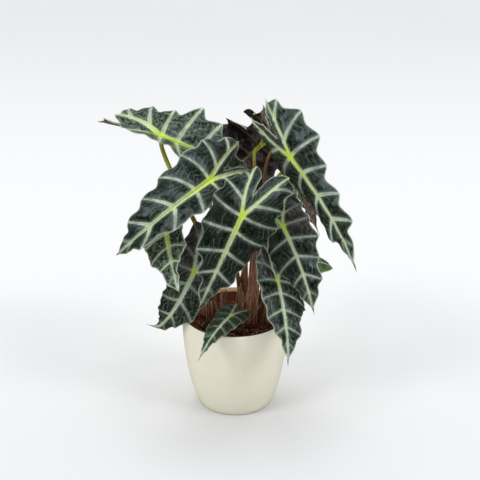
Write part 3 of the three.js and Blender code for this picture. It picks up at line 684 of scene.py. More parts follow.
# Leaf blades: the same outline and poses as the solids, on a finer mesh.
# Places in the outline are shares of a blade's length from its joint on; the drip tip reaches past 1.
bladeShape = {
    "lobeRib": [[0, 0], [0.095, -0.21], [0.168, -0.52]],
    "lobeRibShare": [1, 0.66, 0.28, 0],
    "midribRoots": [0, 0.16, 0.38, 0.6, 0.8, 1.09],
    "veinEnds": [[0.168, -0.52], [0.262, -0.425], [0.335, -0.215], [0.345, 0.03], [0.3, 0.265],
                 [0.24, 0.5], [0.158, 0.715], [0.072, 0.885], [0, 1.09]],
    "innerEnds": [[0.168, -0.52], [0.062, -0.375], [0.014, -0.235], [0, -0.19]],
    "scallopDepth": [0.04, 0.06, 0.06, 0.06, 0.062, 0.055, 0.045, 0],
    "notchShape": 2, "notchSkew": 0.8, "deepestNotch": 0.6, "veinBow": 0.05, "tipTaper": 2.4,
    "tipStation": bladeTip, "jointStation": 3, "hookFrom": 0.88, "halfWidthShare": 0.34,
    "droopShape": 1.5, "rearSpan": 0.5, "midribSpan": (-0.75, 1.15), "midribSteps": 191,
    "waveRate": 2.2, "fadeLobe": 0.8, "fadeTip": 1.2,
}
# Millimetres, but ribWidth, lobeRibWidth and veinWidth: half widths at the root and at the end, in shares
# of the length. Ruffles, grooves and ridges are at their full depth on blades of these lengths or more.
bladeFinish = {
    "columns": 14, "rows": 26, "innerRows": 8, "thickness": 0.8, "edgeThickness": 0.45,
    "ribWidth": (0.021, 0.0065), "lobeRibWidth": (0.017, 0.007), "veinWidth": (0.0165, 0.0075),
    "groove": 0.5, "grooveWidth": 1.4, "ribGroove": 1.3, "underRidge": 1.0, "ridgeWidth": 1.3,
    "grooveInset": 3, "ridgeInset": 4, "rimTaper": 1.5, "ruffle": 0.9, "netSpacing": 6.2, "wineFade": 1.2,
    "fullRuffle": 110, "fullGroove": 120, "fullRidge": 110, "lineSteps": 25, "marginSteps": 20,
}
# One entry a leaf: its pose, size and curl, then its looks, then its stalk. Pairs in width, fold, arch and
# wine are left and right, those in radii foot and top. leafUsual holds what an entry leaves out; tone is
# frost, pale specks that partly paint the sparkle of a glossy blade, and veinScale and ribScale widen the
# pale bands.
leafUsual = {"scallops": 1, "cleft": 1, "hook": 0, "veinReach": {}, "tone": 0.1, "fresh": 0, "wine": (0, 0),
             "wineTo": 4.4, "veinShow": 1, "limeReach": 0.3, "netShow": 1, "veinScale": 1, "ribScale": 1,
             "brownStalk": 0}
leaves = [
    {"name": "leaf_01", "joint": [-96, 55, 356], "heading": -7, "dip": 20, "roll": 35, "length": 130,
     "width": [1.35, 1.11], "taper": 0.28, "lobes": 1.15, "droop": 30, "rear": 27, "fold": [11, 42],
     "arch": [29, -3], "twist": 38, "bend": -0.03, "wave": 3, "puff": 2.4, "phase": 0.4, "scallops": 1.14,
     "cleft": 0.3, "veinReach": {"left": [0.93, 0.97, 0.75, 1.12, 1.04, 0.99, 1],
                   "right": [0.97, 1.01, 0.93, 1.03, 0.98, 0.98, 0.99]}, "tone": 0.4, "veinScale": 1.45,
     "ribScale": 1.6, "limeReach": 0.6, "foot": [-28, 26], "radii": [3.6, 2.8],
     # its stalk is shifted paler and yellower, partly as painted light where it lies in its blade's shade
     "via": [[-37, 32, 199], [-52, 38, 240], [-61, 39, 260], [-84, 40, 316]], "brownStalk": -0.15},
    {"name": "leaf_02", "joint": [-32, -9, 319], "heading": -127, "dip": 11, "roll": -34, "length": 166,
     "width": [0.59, 0.87], "taper": 0.02, "lobes": 0.96, "droop": 100, "rear": 18, "fold": [-5, 27],
     "arch": [-3, 46], "twist": 43, "bend": 0.13, "wave": 3, "puff": 2.7, "phase": 1.3, "scallops": 0.79,
     "veinReach": {"left": [0.95, 1.04, 0.93, 1.04, 1.12, 1.36, 1.22],
                   "right": [0.99, 1.04, 0.98, 1.09, 1.02, 1.02, 1.05]}, "tone": 0.09, "veinScale": 0.94,
     "ribScale": 1.06, "limeReach": 0.38, "foot": [8, 20], "radii": [3.2, 2.2],
     "via": [[1, 18, 186], [-17, 12, 229], [-31, 2, 280]]},
    {"name": "leaf_03", "joint": [9, -84, 301], "heading": 163, "dip": 67, "roll": -84, "length": 138,
     "width": [1.06, 0.99], "taper": 0.05, "lobes": 1.06, "droop": 1, "rear": 73, "fold": [4, 4],
     "arch": [76, 48], "twist": -32, "bend": 0.01, "wave": 3, "puff": 2.7, "phase": 2.1, "cleft": 0.5,
     "veinReach": {"left": [1.14, 0.96, 1, 1.17, 1.05, 1.07, 1.07],
                   "right": [1.04, 1, 1.2, 1.2, 1, 0.94, 0.94]}, "tone": 0.05, "veinShow": 0.85,
     "veinScale": 0.86, "limeReach": 0.35, "foot": [15, 8], "radii": [3.2, 2.2],
     "via": [[14, 2, 190], [13, -22, 255]]},
    {"name": "leaf_04", "joint": [68, -32, 358], "heading": -48, "dip": 36, "roll": 85, "length": 162,
     "width": [0.68, 0.81], "taper": 0.2, "lobes": 0.98, "droop": -22, "rear": 6, "fold": [-6, 1],
     "arch": [35, 57], "twist": 9, "bend": -0.01, "wave": 3, "puff": 2.7, "phase": 0.9, "scallops": 1.09,
     "veinReach": {"left": [1.12, 1.37, 1.18, 0.91, 0.88, 1.24, 1.19],
                   "right": [0.98, 0.9, 1.08, 0.98, 0.87, 1, 0.98]}, "tone": 0.1, "veinScale": 0.98,
     "ribScale": 0.84, "limeReach": 0.38, "foot": [26, 12], "radii": [3.2, 2.2],
     "via": [[34, 22, 225], [44, 32, 289]]},
    {"name": "leaf_05", "joint": [60, -42, 271], "heading": -29, "dip": 60, "roll": 90, "length": 109,
     "width": [0.97, 1.14], "taper": 0.21, "lobes": 0.99, "droop": -18, "rear": 78, "fold": [-8, 8],
     "arch": [36, 39], "twist": -2, "bend": 0.04, "wave": 3, "puff": 2.4, "phase": 3, "scallops": 0.62,
     "veinReach": {"left": [1.03, 0.96, 0.95, 1.08, 0.95, 1.12, 1.14],
                   "right": [0.91, 0.75, 0.85, 1.1, 1.18, 1.01, 1]}, "tone": 0.1, "wine": [0.9, 0.1],
     "wineTo": 4.3, "veinShow": 0.8, "veinScale": 0.9, "ribScale": 1.15, "limeReach": 0.25, "netShow": 1.5,
     "foot": [34, 4], "radii": [3, 2], "via": [[40, 4, 190], [48, -8, 240]]},
    {"name": "leaf_06", "joint": [54, -40, 194], "heading": -76, "dip": 40, "roll": -36, "length": 104,
     "width": [1.14, 0.91], "taper": 0.1, "lobes": 1.06, "droop": 12, "rear": -11, "fold": [13, 7],
     "arch": [31, 42], "twist": 24, "bend": 0.02, "wave": 2.6, "puff": 2.4, "phase": 4.2, "scallops": 0.45,
     "veinReach": {"left": [1, 1.03, 0.96, 1.31, 0.85, 0.99, 1.01]}, "tone": 0.1, "wine": [0.7, 0.8],
     "wineTo": 3.3, "veinShow": 0.75, "ribScale": 1.4, "limeReach": 0.14, "netShow": 1.3,
     "foot": [36, -10], "radii": [2.8, 1.9], "via": [[42, -16, 150]]},
    {"name": "leaf_07", "joint": [-88, -15, 262], "heading": -81, "dip": 23, "roll": 33, "length": 102,
     "width": [0.97, 1.1], "taper": 0.14, "lobes": 0.99, "droop": 20, "rear": 12, "fold": [16, 12],
     "arch": [20, 28], "twist": 2, "bend": 0.02, "wave": 3.2, "puff": 2.7, "phase": 0.2, "scallops": 0.27,
     "veinReach": {"left": [1, 1, 0.97, 0.84, 0.95, 0.77, 0.8],
                   "right": [1, 1, 0.93, 0.97, 1.08, 0.85, 1.26]}, "tone": 0.4, "wine": [0.3, 0.1],
     "wineTo": 3.6, "ribScale": 1.7, "limeReach": 0.75, "netShow": 1.8, "foot": [-34, 12],
     "radii": [2.8, 1.9], "via": [[-46, 10, 170], [-72, -2, 225]]},
    {"name": "leaf_08", "joint": [-52, -28, 202], "heading": -160, "dip": 64, "roll": -78, "length": 119,
     "width": [0.82, 0.82], "taper": 0.27, "lobes": 1.05, "droop": 60, "rear": 4, "fold": [17, -14],
     "arch": [16, 40], "twist": 28, "bend": 0.03, "hook": 0.1, "wave": 2.4, "puff": 2.2, "phase": 5.1,
     "scallops": 0.5, "veinReach": {"left": [1.01, 1.04, 1.02, 1.05, 1.06, 0.88, 1.01],
                   "right": [1.37, 1, 0.8, 1.02, 1.06, 0.95, 0.92]}, "tone": 0.18, "wine": [0.9, 0.9],
     "veinShow": 0.6, "ribScale": 1.15, "limeReach": 0.12, "netShow": 1.5, "foot": [-22, 8],
     "radii": [2.8, 1.9], "via": [[-28, 3, 150]]},
    {"name": "leaf_09", "joint": [-5, -42, 146], "heading": -116, "dip": 0, "roll": -13, "length": 80,
     "width": [0.7, 0.76], "taper": 0, "lobes": 1, "droop": 45, "rear": 18, "fold": [5, 3],
     "arch": [27, 33], "twist": 12, "bend": 0, "wave": 1.4, "puff": 1.4, "phase": 1.8, "scallops": 0.45,
     "tone": 0.02, "fresh": 0.18, "veinShow": 0.35, "limeReach": 0.15, "netShow": 0.5, "foot": [2, -26],
     "radii": [1.9, 1.3], "via": []},
    {"name": "leaf_10", "joint": [34, 114, 324], "heading": 151, "dip": 45, "roll": 108, "length": 133,
     "width": [1.17, 1.03], "taper": 0.26, "lobes": 1.39, "droop": 21, "rear": 52, "fold": [-29, 33],
     "arch": [22, 6], "twist": 38, "bend": -0.01, "wave": 10, "puff": 3.5, "phase": 0.5, "scallops": 1.3,
     "veinReach": {"left": [1.16, 0.71, 1.09, 1.19, 0.86, 0.99, 1.07],
                   "right": [1.18, 0.8, 0.93, 1.3, 1.1, 0.79, 0.97]}, "tone": 0.1, "wine": [0.6, 0.6],
     "veinShow": 0.6, "foot": [17, 28], "radii": [3, 2], "via": [[24, 38, 220], [26, 70, 288]],
     "brownStalk": 0.1},
    {"name": "leaf_11", "joint": [54, 34, 350], "heading": -7, "dip": 64, "roll": -34, "length": 124,
     "width": [0.93, 0.88], "taper": 0.01, "lobes": 0.85, "droop": 1, "rear": -23, "fold": [19, 14],
     "arch": [19, 15], "twist": -8, "bend": 0, "wave": 3, "puff": 2.4, "phase": 3.6, "scallops": 0.3,
     "veinReach": {"left": [1, 1, 1, 1.1, 1.35, 1.35, 1],
                   "right": [1, 1, 1, 1.03, 1.05, 1.13, 0.86]}, "tone": 1, "foot": [27, 26],
     "radii": [3, 2], "via": [[35, 36, 225], [37, 50, 285]], "brownStalk": 0.5},
    {"name": "leaf_12", "joint": [101, -5, 205], "heading": 34, "dip": 17, "roll": 19, "length": 40,
     "width": [1.5, 1.56], "taper": 0, "lobes": 1, "droop": 29, "rear": 12, "fold": [9, 9],
     "arch": [25, 25], "twist": 0, "bend": 0, "wave": 0.4, "puff": 0.4, "phase": 0, "scallops": 0,
     "tone": 0.9, "fresh": 1, "veinShow": 0.08, "limeReach": 0.05, "foot": [38, 14], "radii": [1.7, 1.1],
     "via": [[54, 14, 165], [84, 2, 196]]},
]
leaves = [{**leafUsual, **leaf} for leaf in leaves]


def handOf(side):
    # side is 1 on the right half and -1 on the left one
    return 1 if side > 0 else 0


def lobeRibPoint(share):
    a, b, c = np.array(bladeShape["lobeRib"], float)
    share = np.asarray(share, float)[..., None]
    return (1 - share) ** 2 * a + 2 * (1 - share) * share * b + share ** 2 * c


def betweenRows(rows, station):
    rows = np.array(rows, float)
    i = np.clip(np.floor(station).astype(int), 0, len(rows) - 2)
    part = (station - i)[..., None] if rows.ndim > 1 else station - i
    return rows[i] * (1 - part) + rows[i + 1] * part


def stationRoot(station):
    # where the line of a station leaves the lobe's rib or the midrib
    joint = bladeShape["jointStation"]
    onLobe = lobeRibPoint(betweenRows(bladeShape["lobeRibShare"], np.minimum(station, joint)))
    onMidrib = np.zeros(station.shape + (2,))
    onMidrib[..., 1] = betweenRows(bladeShape["midribRoots"], np.maximum(station - joint, 0))
    return np.where((station < joint)[..., None], onLobe, onMidrib)


def marginLine(leaf, side, station):
    # smooth curve through the veins' ends, drawn out to a narrow point in the last stretch
    ends = np.array(bladeShape["veinEnds"], float)
    last = len(ends) - 2
    reach = leaf["veinReach"].get(("left", "right")[handOf(side)])
    if reach:
        roots = stationRoot(np.arange(1.0, last + 1))
        ends[1:-1] = roots + (ends[1:-1] - roots) * np.array(reach)[:, None]
    i = np.clip(np.floor(station).astype(int), 0, last)
    t = (station - i)[..., None]
    before, after = ends[np.maximum(i - 1, 0)], ends[np.minimum(i + 2, last + 1)]
    start, end = ends[i], ends[i + 1]
    go, come = (end - before) / 2, (after - start) / 2
    line = (start + go * t + (3 * (end - start) - 2 * go - come) * t ** 2
            + (2 * (start - end) + go + come) * t ** 3)
    tail = start + (end - start) * np.concatenate([1 - (1 - t) ** bladeShape["tipTaper"], t], -1)
    return np.where((i == last)[..., None], tail, line)


def flatPoint(leaf, side, station, reach, inner=False):
    # flat half blade: station runs from the lobe's tip past the joint to the tip, reach from rib to margin;
    # inner is the part of the lobe on the other side of its rib
    shape = bladeShape
    station, reach = np.broadcast_arrays(np.asarray(station, float), np.asarray(reach, float))
    root = stationRoot(station)
    t = reach[..., None]
    if inner:
        end = betweenRows(shape["innerEnds"], np.minimum(station, shape["jointStation"]))
        end[..., 0] *= 1 + (leaf["cleft"] - 1) * np.minimum(1, station)
        return root * (1 - t) + end * t
    end = marginLine(leaf, side, station)
    i = np.clip(np.floor(station).astype(int), 0, shape["tipStation"] - 1)
    span = np.linalg.norm(end - root, axis=-1)
    dent = np.array(shape["scallopDepth"])[i] * leaf["scallops"]
    dent = dent * np.abs(np.sin(np.pi * (station - i) ** shape["notchSkew"])) ** shape["notchShape"]
    pull = (np.minimum(dent, shape["deepestNotch"] * span) / np.maximum(span, 1e-6))[..., None]
    margin = end + (root - end) * pull
    run = margin - root
    bow = (shape["veinBow"] * np.minimum(1, station))[..., None]
    middle = (root + margin) / 2 + np.stack([run[..., 1], -run[..., 0]], -1) * bow
    return (1 - t) ** 2 * root + 2 * t * (1 - t) * middle + t ** 2 * margin


def spreadOut(leaf, side, flat):
    # shares of the length as millimetres on the flat blade
    width = leaf["width"][handOf(side)]
    x = flat[..., 0] * leaf["length"] * width * (1 + leaf["taper"] * flat[..., 1])
    y = flat[..., 1] * leaf["length"] * np.where(flat[..., 1] < 0, leaf["lobes"], 1)
    return np.stack([x, y], -1)


def relief(leaf, side, station, reach, inner):
    # swelling between the veins, waves towards the margin and small ruffles at it, in millimetres
    shape = bladeShape
    fade = np.minimum(1, np.minimum(station / shape["fadeLobe"],
                                    (shape["tipStation"] - station) / shape["fadeTip"]))
    share = station - np.floor(station)
    swell = leaf["puff"] * np.sin(np.pi * share) * np.sin(np.pi * np.minimum(1, reach * 0.9))
    close = np.maximum(0, 1 - station / shape["jointStation"]) if inner else 1
    turn = shape["waveRate"] * station + leaf["phase"] * (1 + side / 2)
    wave = leaf["wave"] * reach ** 2 * close * np.sin(turn)
    turn = 4 * np.pi * station + leaf["phase"] * 3 + side
    ruffle = bladeFinish["ruffle"] * reach ** 3 * np.sin(turn) * close
    return fade * (swell * close + wave + ruffle * min(1, leaf["length"] / bladeFinish["fullRuffle"]))


def leafFrame(leaf):
    # the blade's own right, forward and up
    heading, dip, roll = (math.radians(leaf[k]) for k in ("heading", "dip", "roll"))
    ahead = np.array([math.cos(heading), math.sin(heading), 0])
    forward = ahead * math.cos(dip) + np.array([0, 0, -math.sin(dip)])
    level = ahead * math.sin(dip) + np.array([0, 0, math.cos(dip)])
    across = np.cross(forward, level)
    right = across * math.cos(roll) - level * math.sin(roll)
    up = level * math.cos(roll) + across * math.sin(roll)
    return right, forward, up


def bladePoints(leaf, side, station, reach, inner, extraLift):
    # one half of the blade, folded, arched, twisted and drooped into place; millimetres
    shape = bladeShape
    length, hand = leaf["length"], handOf(side)
    flat = spreadOut(leaf, side, flatPoint(leaf, side, station, reach, inner))
    x, y = flat[..., 0], flat[..., 1]
    fold = math.radians(leaf["fold"][hand])
    arch = math.radians(leaf["arch"][hand]) / (shape["halfWidthShare"] * length * leaf["width"][hand])
    angle = fold - arch * x
    lift = relief(leaf, side, station, reach, inner) + extraLift
    out = (math.sin(fold) - np.sin(angle)) / arch - lift * np.sin(angle)
    rise = (np.cos(angle) - math.cos(fold)) / arch + lift * np.cos(angle)
    turn = math.radians(leaf["twist"]) * np.clip(y / length, -0.5, 1.2)
    across = side * out * np.cos(turn) + rise * np.sin(turn)
    above = -side * out * np.sin(turn) + rise * np.cos(turn)
    hooked = shape["hookFrom"]
    tail = np.maximum(0, (y / length - hooked) / (shape["veinEnds"][-1][1] - hooked))
    sway = length * (leaf["bend"] * np.maximum(0, y / length) ** 2 + leaf["hook"] * tail ** 2)
    # the midrib's curve seen from the side
    first, last = shape["midribSpan"]
    along = np.linspace(first * length, last * length, shape["midribSteps"])
    droop, rear = math.radians(leaf["droop"]), math.radians(leaf["rear"])
    slope = np.where(along > 0, droop * (np.abs(along) / length) ** shape["droopShape"],
                     -rear * np.abs(along) / (shape["rearSpan"] * length))
    step = along[1] - along[0]
    ahead = np.concatenate([[0], np.cumsum((np.cos(slope[1:]) + np.cos(slope[:-1])) / 2 * step)])
    drop = np.concatenate([[0], np.cumsum(-(np.sin(slope[1:]) + np.sin(slope[:-1])) / 2 * step)])
    ahead, drop = ahead - np.interp(0, along, ahead), drop - np.interp(0, along, drop)
    tilt = np.interp(y, along, slope)
    right, forward, up = leafFrame(leaf)
    local = (across + sway, np.interp(y, along, ahead) + above * np.sin(tilt),
             np.interp(y, along, drop) + above * np.cos(tilt))
    return np.array(leaf["joint"]) + sum(part[..., None] * axis
                                         for part, axis in zip(local, (right, forward, up)))


def nearestOn(points, line, widths):
    # how deep each point lies in the band along a line, and how far it is from the line;
    # widths are the band's half widths at the line's start and end
    start, run = line[:-1], np.diff(line, axis=0)
    offset = points[:, None] - start
    share = np.clip((offset * run).sum(-1) / np.maximum((run ** 2).sum(-1), 1e-9), 0, 1)
    gap = np.linalg.norm(offset - share[..., None] * run, axis=-1)
    at = (np.arange(len(run)) + share) / len(run)
    wide = widths[0] + (widths[1] - widths[0]) * at
    return (wide - gap).max(1), gap.min(1)


def nearestOfAll(points, lines, length):
    found = [nearestOn(points, line, np.array(widths) * length) for line, widths in lines]
    return np.max([band for band, _ in found], 0), np.min([gap for _, gap in found], 0)


def flatLines(leaf, side):
    # one half's ribs and veins with their widths, and its margin lines, in flat millimetres
    shape, finish = bladeShape, bladeFinish
    joint, tip = shape["jointStation"], shape["tipStation"]
    fine = np.linspace(0, 1, finish["lineSteps"])
    midrib = np.array([[0, 0], [0, shape["midribRoots"][-1]]], float)
    ribs = [(midrib, "ribWidth"), (lobeRibPoint(fine), "lobeRibWidth")]
    ribs = [(spreadOut(leaf, side, line), np.array(finish[width]) * leaf["ribScale"])
            for line, width in ribs]
    veinWidth = [wide * leaf["veinScale"] for wide in finish["veinWidth"]]
    veins = [(spreadOut(leaf, side, flatPoint(leaf, side, np.full(len(fine), float(k)), fine)), veinWidth)
             for k in range(1, tip)]
    margins = []
    for last, inner in ((tip, False), (joint, True)):
        stations = np.linspace(0, last, last * finish["marginSteps"] + 1)
        line = flatPoint(leaf, side, stations, np.ones(len(stations)), inner)
        margins.append(spreadOut(leaf, side, line))
    return ribs, veins, margins


def bladePart(leaf, side, inner, lines):
    # points of one half and the numbers that its material reads
    shape, finish = bladeShape, bladeFinish
    length, (ribs, veins, margins) = leaf["length"], lines
    stations = (shape["jointStation"] if inner else shape["tipStation"]) * finish["columns"]
    rows = finish["innerRows"] if inner else finish["rows"]
    s = np.repeat(np.arange(stations + 1) / finish["columns"], rows + 1)
    r = np.tile(np.arange(rows + 1) / rows, stations + 1)
    flat = spreadOut(leaf, side, flatPoint(leaf, side, s, r, inner))
    rib, ribGap = nearestOfAll(flat, ribs, length)
    vein, veinGap = nearestOfAll(flat, veins, length)
    inset = np.min([nearestOn(flat, line, (0, 0))[1] for line in margins], 0)
    ends, roots = (spreadOut(leaf, side, flatPoint(leaf, side, s, np.full(len(s), k), inner))
                   for k in (1.0, 0.0))
    span = np.linalg.norm(ends - roots, axis=1)
    # grooves over the ribs and the veins, shallower on small leaves and towards the margin
    sunk = np.maximum(finish["ribGroove"] * np.exp(-(ribGap / finish["grooveWidth"]) ** 2 / 2),
                      np.exp(-(veinGap / finish["grooveWidth"]) ** 2))
    lift = -finish["groove"] * sunk * min(1, length / finish["fullGroove"])
    lift = lift * np.clip(inset / finish["grooveInset"], 0, 1)
    # the wine tint, which partly paints shade, on this half up to wineTo
    wine = leaf["wine"][handOf(side)] * np.clip((leaf["wineTo"] - s) / finish["wineFade"], 0, 1)
    values = {"station": s, "along": r * span / finish["netSpacing"], "veinBand": vein, "veinGap": veinGap,
              "ribBand": rib, "ribGap": ribGap, "edgeInset": inset,
              "jointShare": np.linalg.norm(flat, axis=1) / length, "wine": wine}
    return bladePoints(leaf, side, s, r, inner, lift), (stations + 1, rows + 1), values


def makeBlade(leaf):
    finish, length = bladeFinish, leaf["length"]
    points, faces, found, start = [], [], [], 0
    for side in (1, -1):   # right, left
        lines = flatLines(leaf, side)
        for inner in (False, True):
            some, size, values = bladePart(leaf, side, inner, lines)
            points.append(some)
            found.append(values)
            faces += gridFaces(*size, start, (side > 0) == inner)
            start += len(some)
    values = {key: np.concatenate([part[key] for part in found]) for key in found[0]}
    points, faces, values = welded(np.vstack(points), faces, values)
    inset = values["edgeInset"]
    half = np.interp(inset, [0, finish["rimTaper"]], [finish["edgeThickness"] / 2, finish["thickness"] / 2])
    ridge = finish["underRidge"] * np.exp(-(values["ribGap"] / finish["ridgeWidth"]) ** 2)
    ridge = ridge * np.clip(inset / finish["ridgeInset"], 0, 1) * min(1, length / finish["fullRidge"])
    both, allFaces, kinds = solidSheet(points, faces, half, half + ridge)
    values = {key: np.concatenate([numbers, numbers]) for key, numbers in values.items()}
    for key in ("tone", "fresh", "veinShow", "limeReach", "netShow"):
        values[key] = np.full(len(both), float(leaf[key]))
    skins = (leafUpper, leafUnder, leafEdge)
    piece = newPiece(leaf["name"] + "_bladeFine", both, allFaces, skins, "leaf", values, kinds)
    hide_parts(leaf["name"] + "_blade")


# Stalks: upright at the foot, in a curve to the blade, whose underside they meet square on
stalkFinish = {"sides": 20, "rings": 70, "low": 102.3, "straight": 14, "neckMost": 14, "neckShare": 0.12,
               "footSwell": 0.35, "footSpan": 0.36, "seat": 1.3}


def uprightFoot(foot):
    finish = stalkFinish
    return [[*foot, finish["low"] + share * finish["straight"]] for share in (0, 0.5, 1)]


def makeStalkPiece(leaf):
    finish = stalkFinish
    up = leafFrame(leaf)[2]
    joint = np.array(leaf["joint"], float)
    path = uprightFoot(leaf["foot"]) + leaf["via"]
    rising = joint - np.array(path[-1], float)
    rising = rising / np.linalg.norm(rising) + up
    rising /= np.linalg.norm(rising)
    neck = min(finish["neckMost"], leaf["length"] * finish["neckShare"])
    seat = joint - up * finish["seat"]
    line = smoothLine(path + [seat - rising * neck, seat], finish["rings"])
    rise = np.linspace(0, 1, len(line))
    radii = leaf["radii"][0] + (leaf["radii"][1] - leaf["radii"][0]) * rise
    radii = radii * (1 + finish["footSwell"] * np.clip(1 - rise / finish["footSpan"], 0, 1) ** 2)
    points, faces, rise = tube(line, radii, finish["sides"])
    values = {"rise": rise - leaf["brownStalk"]}
    piece = newPiece(leaf["name"] + "_stalkFine", points, faces, (stalkSkin,), "stalk", values)
    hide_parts(leaf["name"] + "_stalk")


for leaf in leaves:
    makeBlade(leaf)
    makeStalkPiece(leaf)
print("leaves made")


# Loose dry strands: a line through the air beside the straps, and a radius
looseStrands = [
    {"line": [[18, -9, 116], [9, -10, 140], [14, -10, 158], [22, -10, 175], [28, -9, 184]], "radius": 0.45},
    {"line": [[13, -12, 117], [10, -11, 142], [17, -10, 155], [23, -9, 164], [33, -8, 166]], "radius": 0.4},
    {"line": [[4, -9, 116], [10, -10, 145], [19, -10, 160], [27, -9, 175], [31, -5, 186]], "radius": 0.35},
    {"line": [[42, -10, 116], [36, -11, 150], [28, -11, 134], [18, -12, 120], [10, -12, 116]],
     "radius": 0.5},
    {"line": [[-8, -2, 116], [-14, -6, 128], [-24, -6, 122], [-30, -4, 116]], "radius": 0.4},
]
strandFinish = {"rings": 40, "sides": 8, "thinning": 0.6}


def makeLooseStrands():
    finish, bodies = strandFinish, []
    for strand in looseStrands:
        line = smoothLine(strand["line"], finish["rings"])
        radii = strand["radius"] * (1 - finish["thinning"] * np.linspace(0, 1, len(line)) ** 3)
        bodies.append(tube(line, radii, finish["sides"])[:2])
    newPiece("looseStrands", *gathered(bodies), (dryStrand,), "sheath")


# Cover pot and growing pot; the short lists are steps of radius and height that round an edge
coverPot = {
    "outer": [[47.5, 0], [49.6, 0.8], [51, 3], [54.6, 12], [60.4, 32], [65.6, 60], [69.2, 90], [70.4, 112],
              [70, 127.8]],
    "rim": [(-0.25, -0.35), (-0.7, -0.08), (-1.2, 0), (-1.7, -0.06), (-2.2, -0.3)],
    "wall": 2.6, "floor": 4, "height": 128.6, "innerCorner": 3, "sides": 160,
}
growPot = {
    "wall": 1.3, "floor": 2, "rimRadius": 66, "footRadius": 41, "bandHeight": 12, "bandStep": 1.2,
    "top": 131.5, "bottom": 6.5, "tilt": 3, "sides": 160,
    "footEdge": [(-1, 0), (-0.3, 0.3), (0, 1)], "bandEdge": [(-0.3, -0.4), (0, 0)], "bandGap": 0.8,
    "lip": [(0, -0.7), (-0.2, -0.2), (-0.6, 0), (-1.6, 0), (-2, -0.3)], "lipDepth": 1.5,
}


def stepped(radius, height, steps):
    return [(radius + out, height + up) for out, up in steps]


def makeCoverPot():
    pot = coverPot
    wallLine = smoothLine([(r, 0, z) for r, z in pot["outer"][3:]], 30)[:, [0, 2]]
    rim = stepped(wallLine[-1, 0], pot["height"], pot["rim"])
    inner = [(r - pot["wall"], z) for r, z in wallLine[::-1]]
    profile = [(0, 0)] + pot["outer"][:3] + wallLine.tolist() + rim + inner
    profile += [(inner[-1][0] - pot["innerCorner"], pot["floor"]), (0, pot["floor"])]
    points, faces = turnedBody(profile, pot["sides"])
    piece = newPiece("coverPotFine", points, faces, (creamPlastic,), "cover_pot")
    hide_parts("cover_pot")


def growRadius(z):
    # inside radius of the growing pot at a height
    share = (z - growPot["bottom"]) / (growPot["top"] - growPot["bottom"])
    top = growPot["rimRadius"] - growPot["bandStep"]
    return growPot["footRadius"] + (top - growPot["footRadius"]) * share - growPot["wall"]


def leaning(points):
    # the growing pot leans back about the middle of its rim
    tilt = math.radians(growPot["tilt"])
    y, z = points[:, 1].copy(), points[:, 2] - growPot["top"]
    points[:, 1] = y * math.cos(tilt) - z * math.sin(tilt)
    points[:, 2] = y * math.sin(tilt) + z * math.cos(tilt) + growPot["top"]
    return points


def makeGrowPot():
    pot = growPot
    top, low = pot["top"], pot["bottom"]
    foot, floor, lip = top - pot["bandHeight"], low + pot["floor"], top - pot["lipDepth"]
    profile = [(0, low)] + stepped(pot["footRadius"], low, pot["footEdge"])
    profile += [(growRadius(foot) + pot["wall"], foot - pot["bandGap"])]
    profile += stepped(pot["rimRadius"], foot, pot["bandEdge"]) + stepped(pot["rimRadius"], top, pot["lip"])
    profile += [(growRadius(lip), lip), (growRadius(floor), floor), (0, floor)]
    points, faces = turnedBody(profile, pot["sides"])
    piece = newPiece("growingPotFine", leaning(points), faces, (terracottaPlastic,), "growing_pot")
    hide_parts("growing_pot")


# Soil with crumbs and fibres; ranges are the least and the most of a random draw
soilShape = {"top": 114, "crest": 0.8, "rings": 60, "sides": 150,
             "lump": 2.2, "lumpScale": 0.075, "fine": 1.0, "fineScale": 0.3,
             "wallGap": 0.4, "footGap": 0.5, "footInset": 0.6, "footRise": 1.5, "footBack": 4}
soilCrumbs = {"count": 420, "seed": 7, "inset": 2.5, "length": (0.8, 2.6), "width": (0.4, 0.9),
              "height": (0.35, 0.7), "corner": (0.55, 1.1), "lean": 0.4, "raised": 0.4}
soilFibres = {"count": 460, "seed": 8, "inset": 6, "edgeGap": 2, "length": (4, 13), "bend": 0.5,
              "raised": 0.5, "arch": 1.5, "radius": (0.25, 0.55), "tone": (0.4, 1.0),
              "rings": 7, "sides": 5}


def soilHeight(x, y):
    shape, tilt = soilShape, math.radians(growPot["tilt"])
    base = growPot["top"] - (growPot["top"] - shape["top"]) / math.cos(tilt) + y * math.tan(tilt)
    broad = noise.noise(Vector((x, y, 3)) * shape["lumpScale"]) * shape["lump"]
    small = noise.noise(Vector((x, y, 9)) * shape["fineScale"]) * shape["fine"]
    return base + broad + small + shape["crest"]


def makeSoilPiece():
    shape = soilShape
    sides, rings = shape["sides"], shape["rings"]
    edge = growRadius(shape["top"]) - shape["wallGap"]
    points, loops = [], []
    for k in range(rings):
        loops.append(range(len(points), len(points) + sides))
        points += [(x, y, soilHeight(x, y)) for x, y in circle(edge * (1 - k / rings), sides)]
    loops.append([len(points)] * sides)
    points.append((0, 0, soilHeight(0, 0)))
    low = growPot["bottom"] + growPot["floor"] + shape["footGap"]
    foot = range(len(points), len(points) + sides)
    back, height = shape["footBack"], low + shape["footRise"]
    points += [(x, y + back, height) for x, y in circle(growRadius(low) - shape["footInset"], sides)]
    underside = [len(points)] * sides
    points.append((0, back, height))
    faces = stitched([underside, foot] + loops)
    piece = newPiece("soilFine", np.array(points, float), faces, (peat,), "soil")
    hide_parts("soil")


def scattered(random, inset):
    # a place anywhere on the soil but for its outermost millimetres
    radius = (growRadius(soilShape["top"]) - inset) * math.sqrt(random.random())
    angle = random.random() * 2 * math.pi
    return radius * math.cos(angle), radius * math.sin(angle)


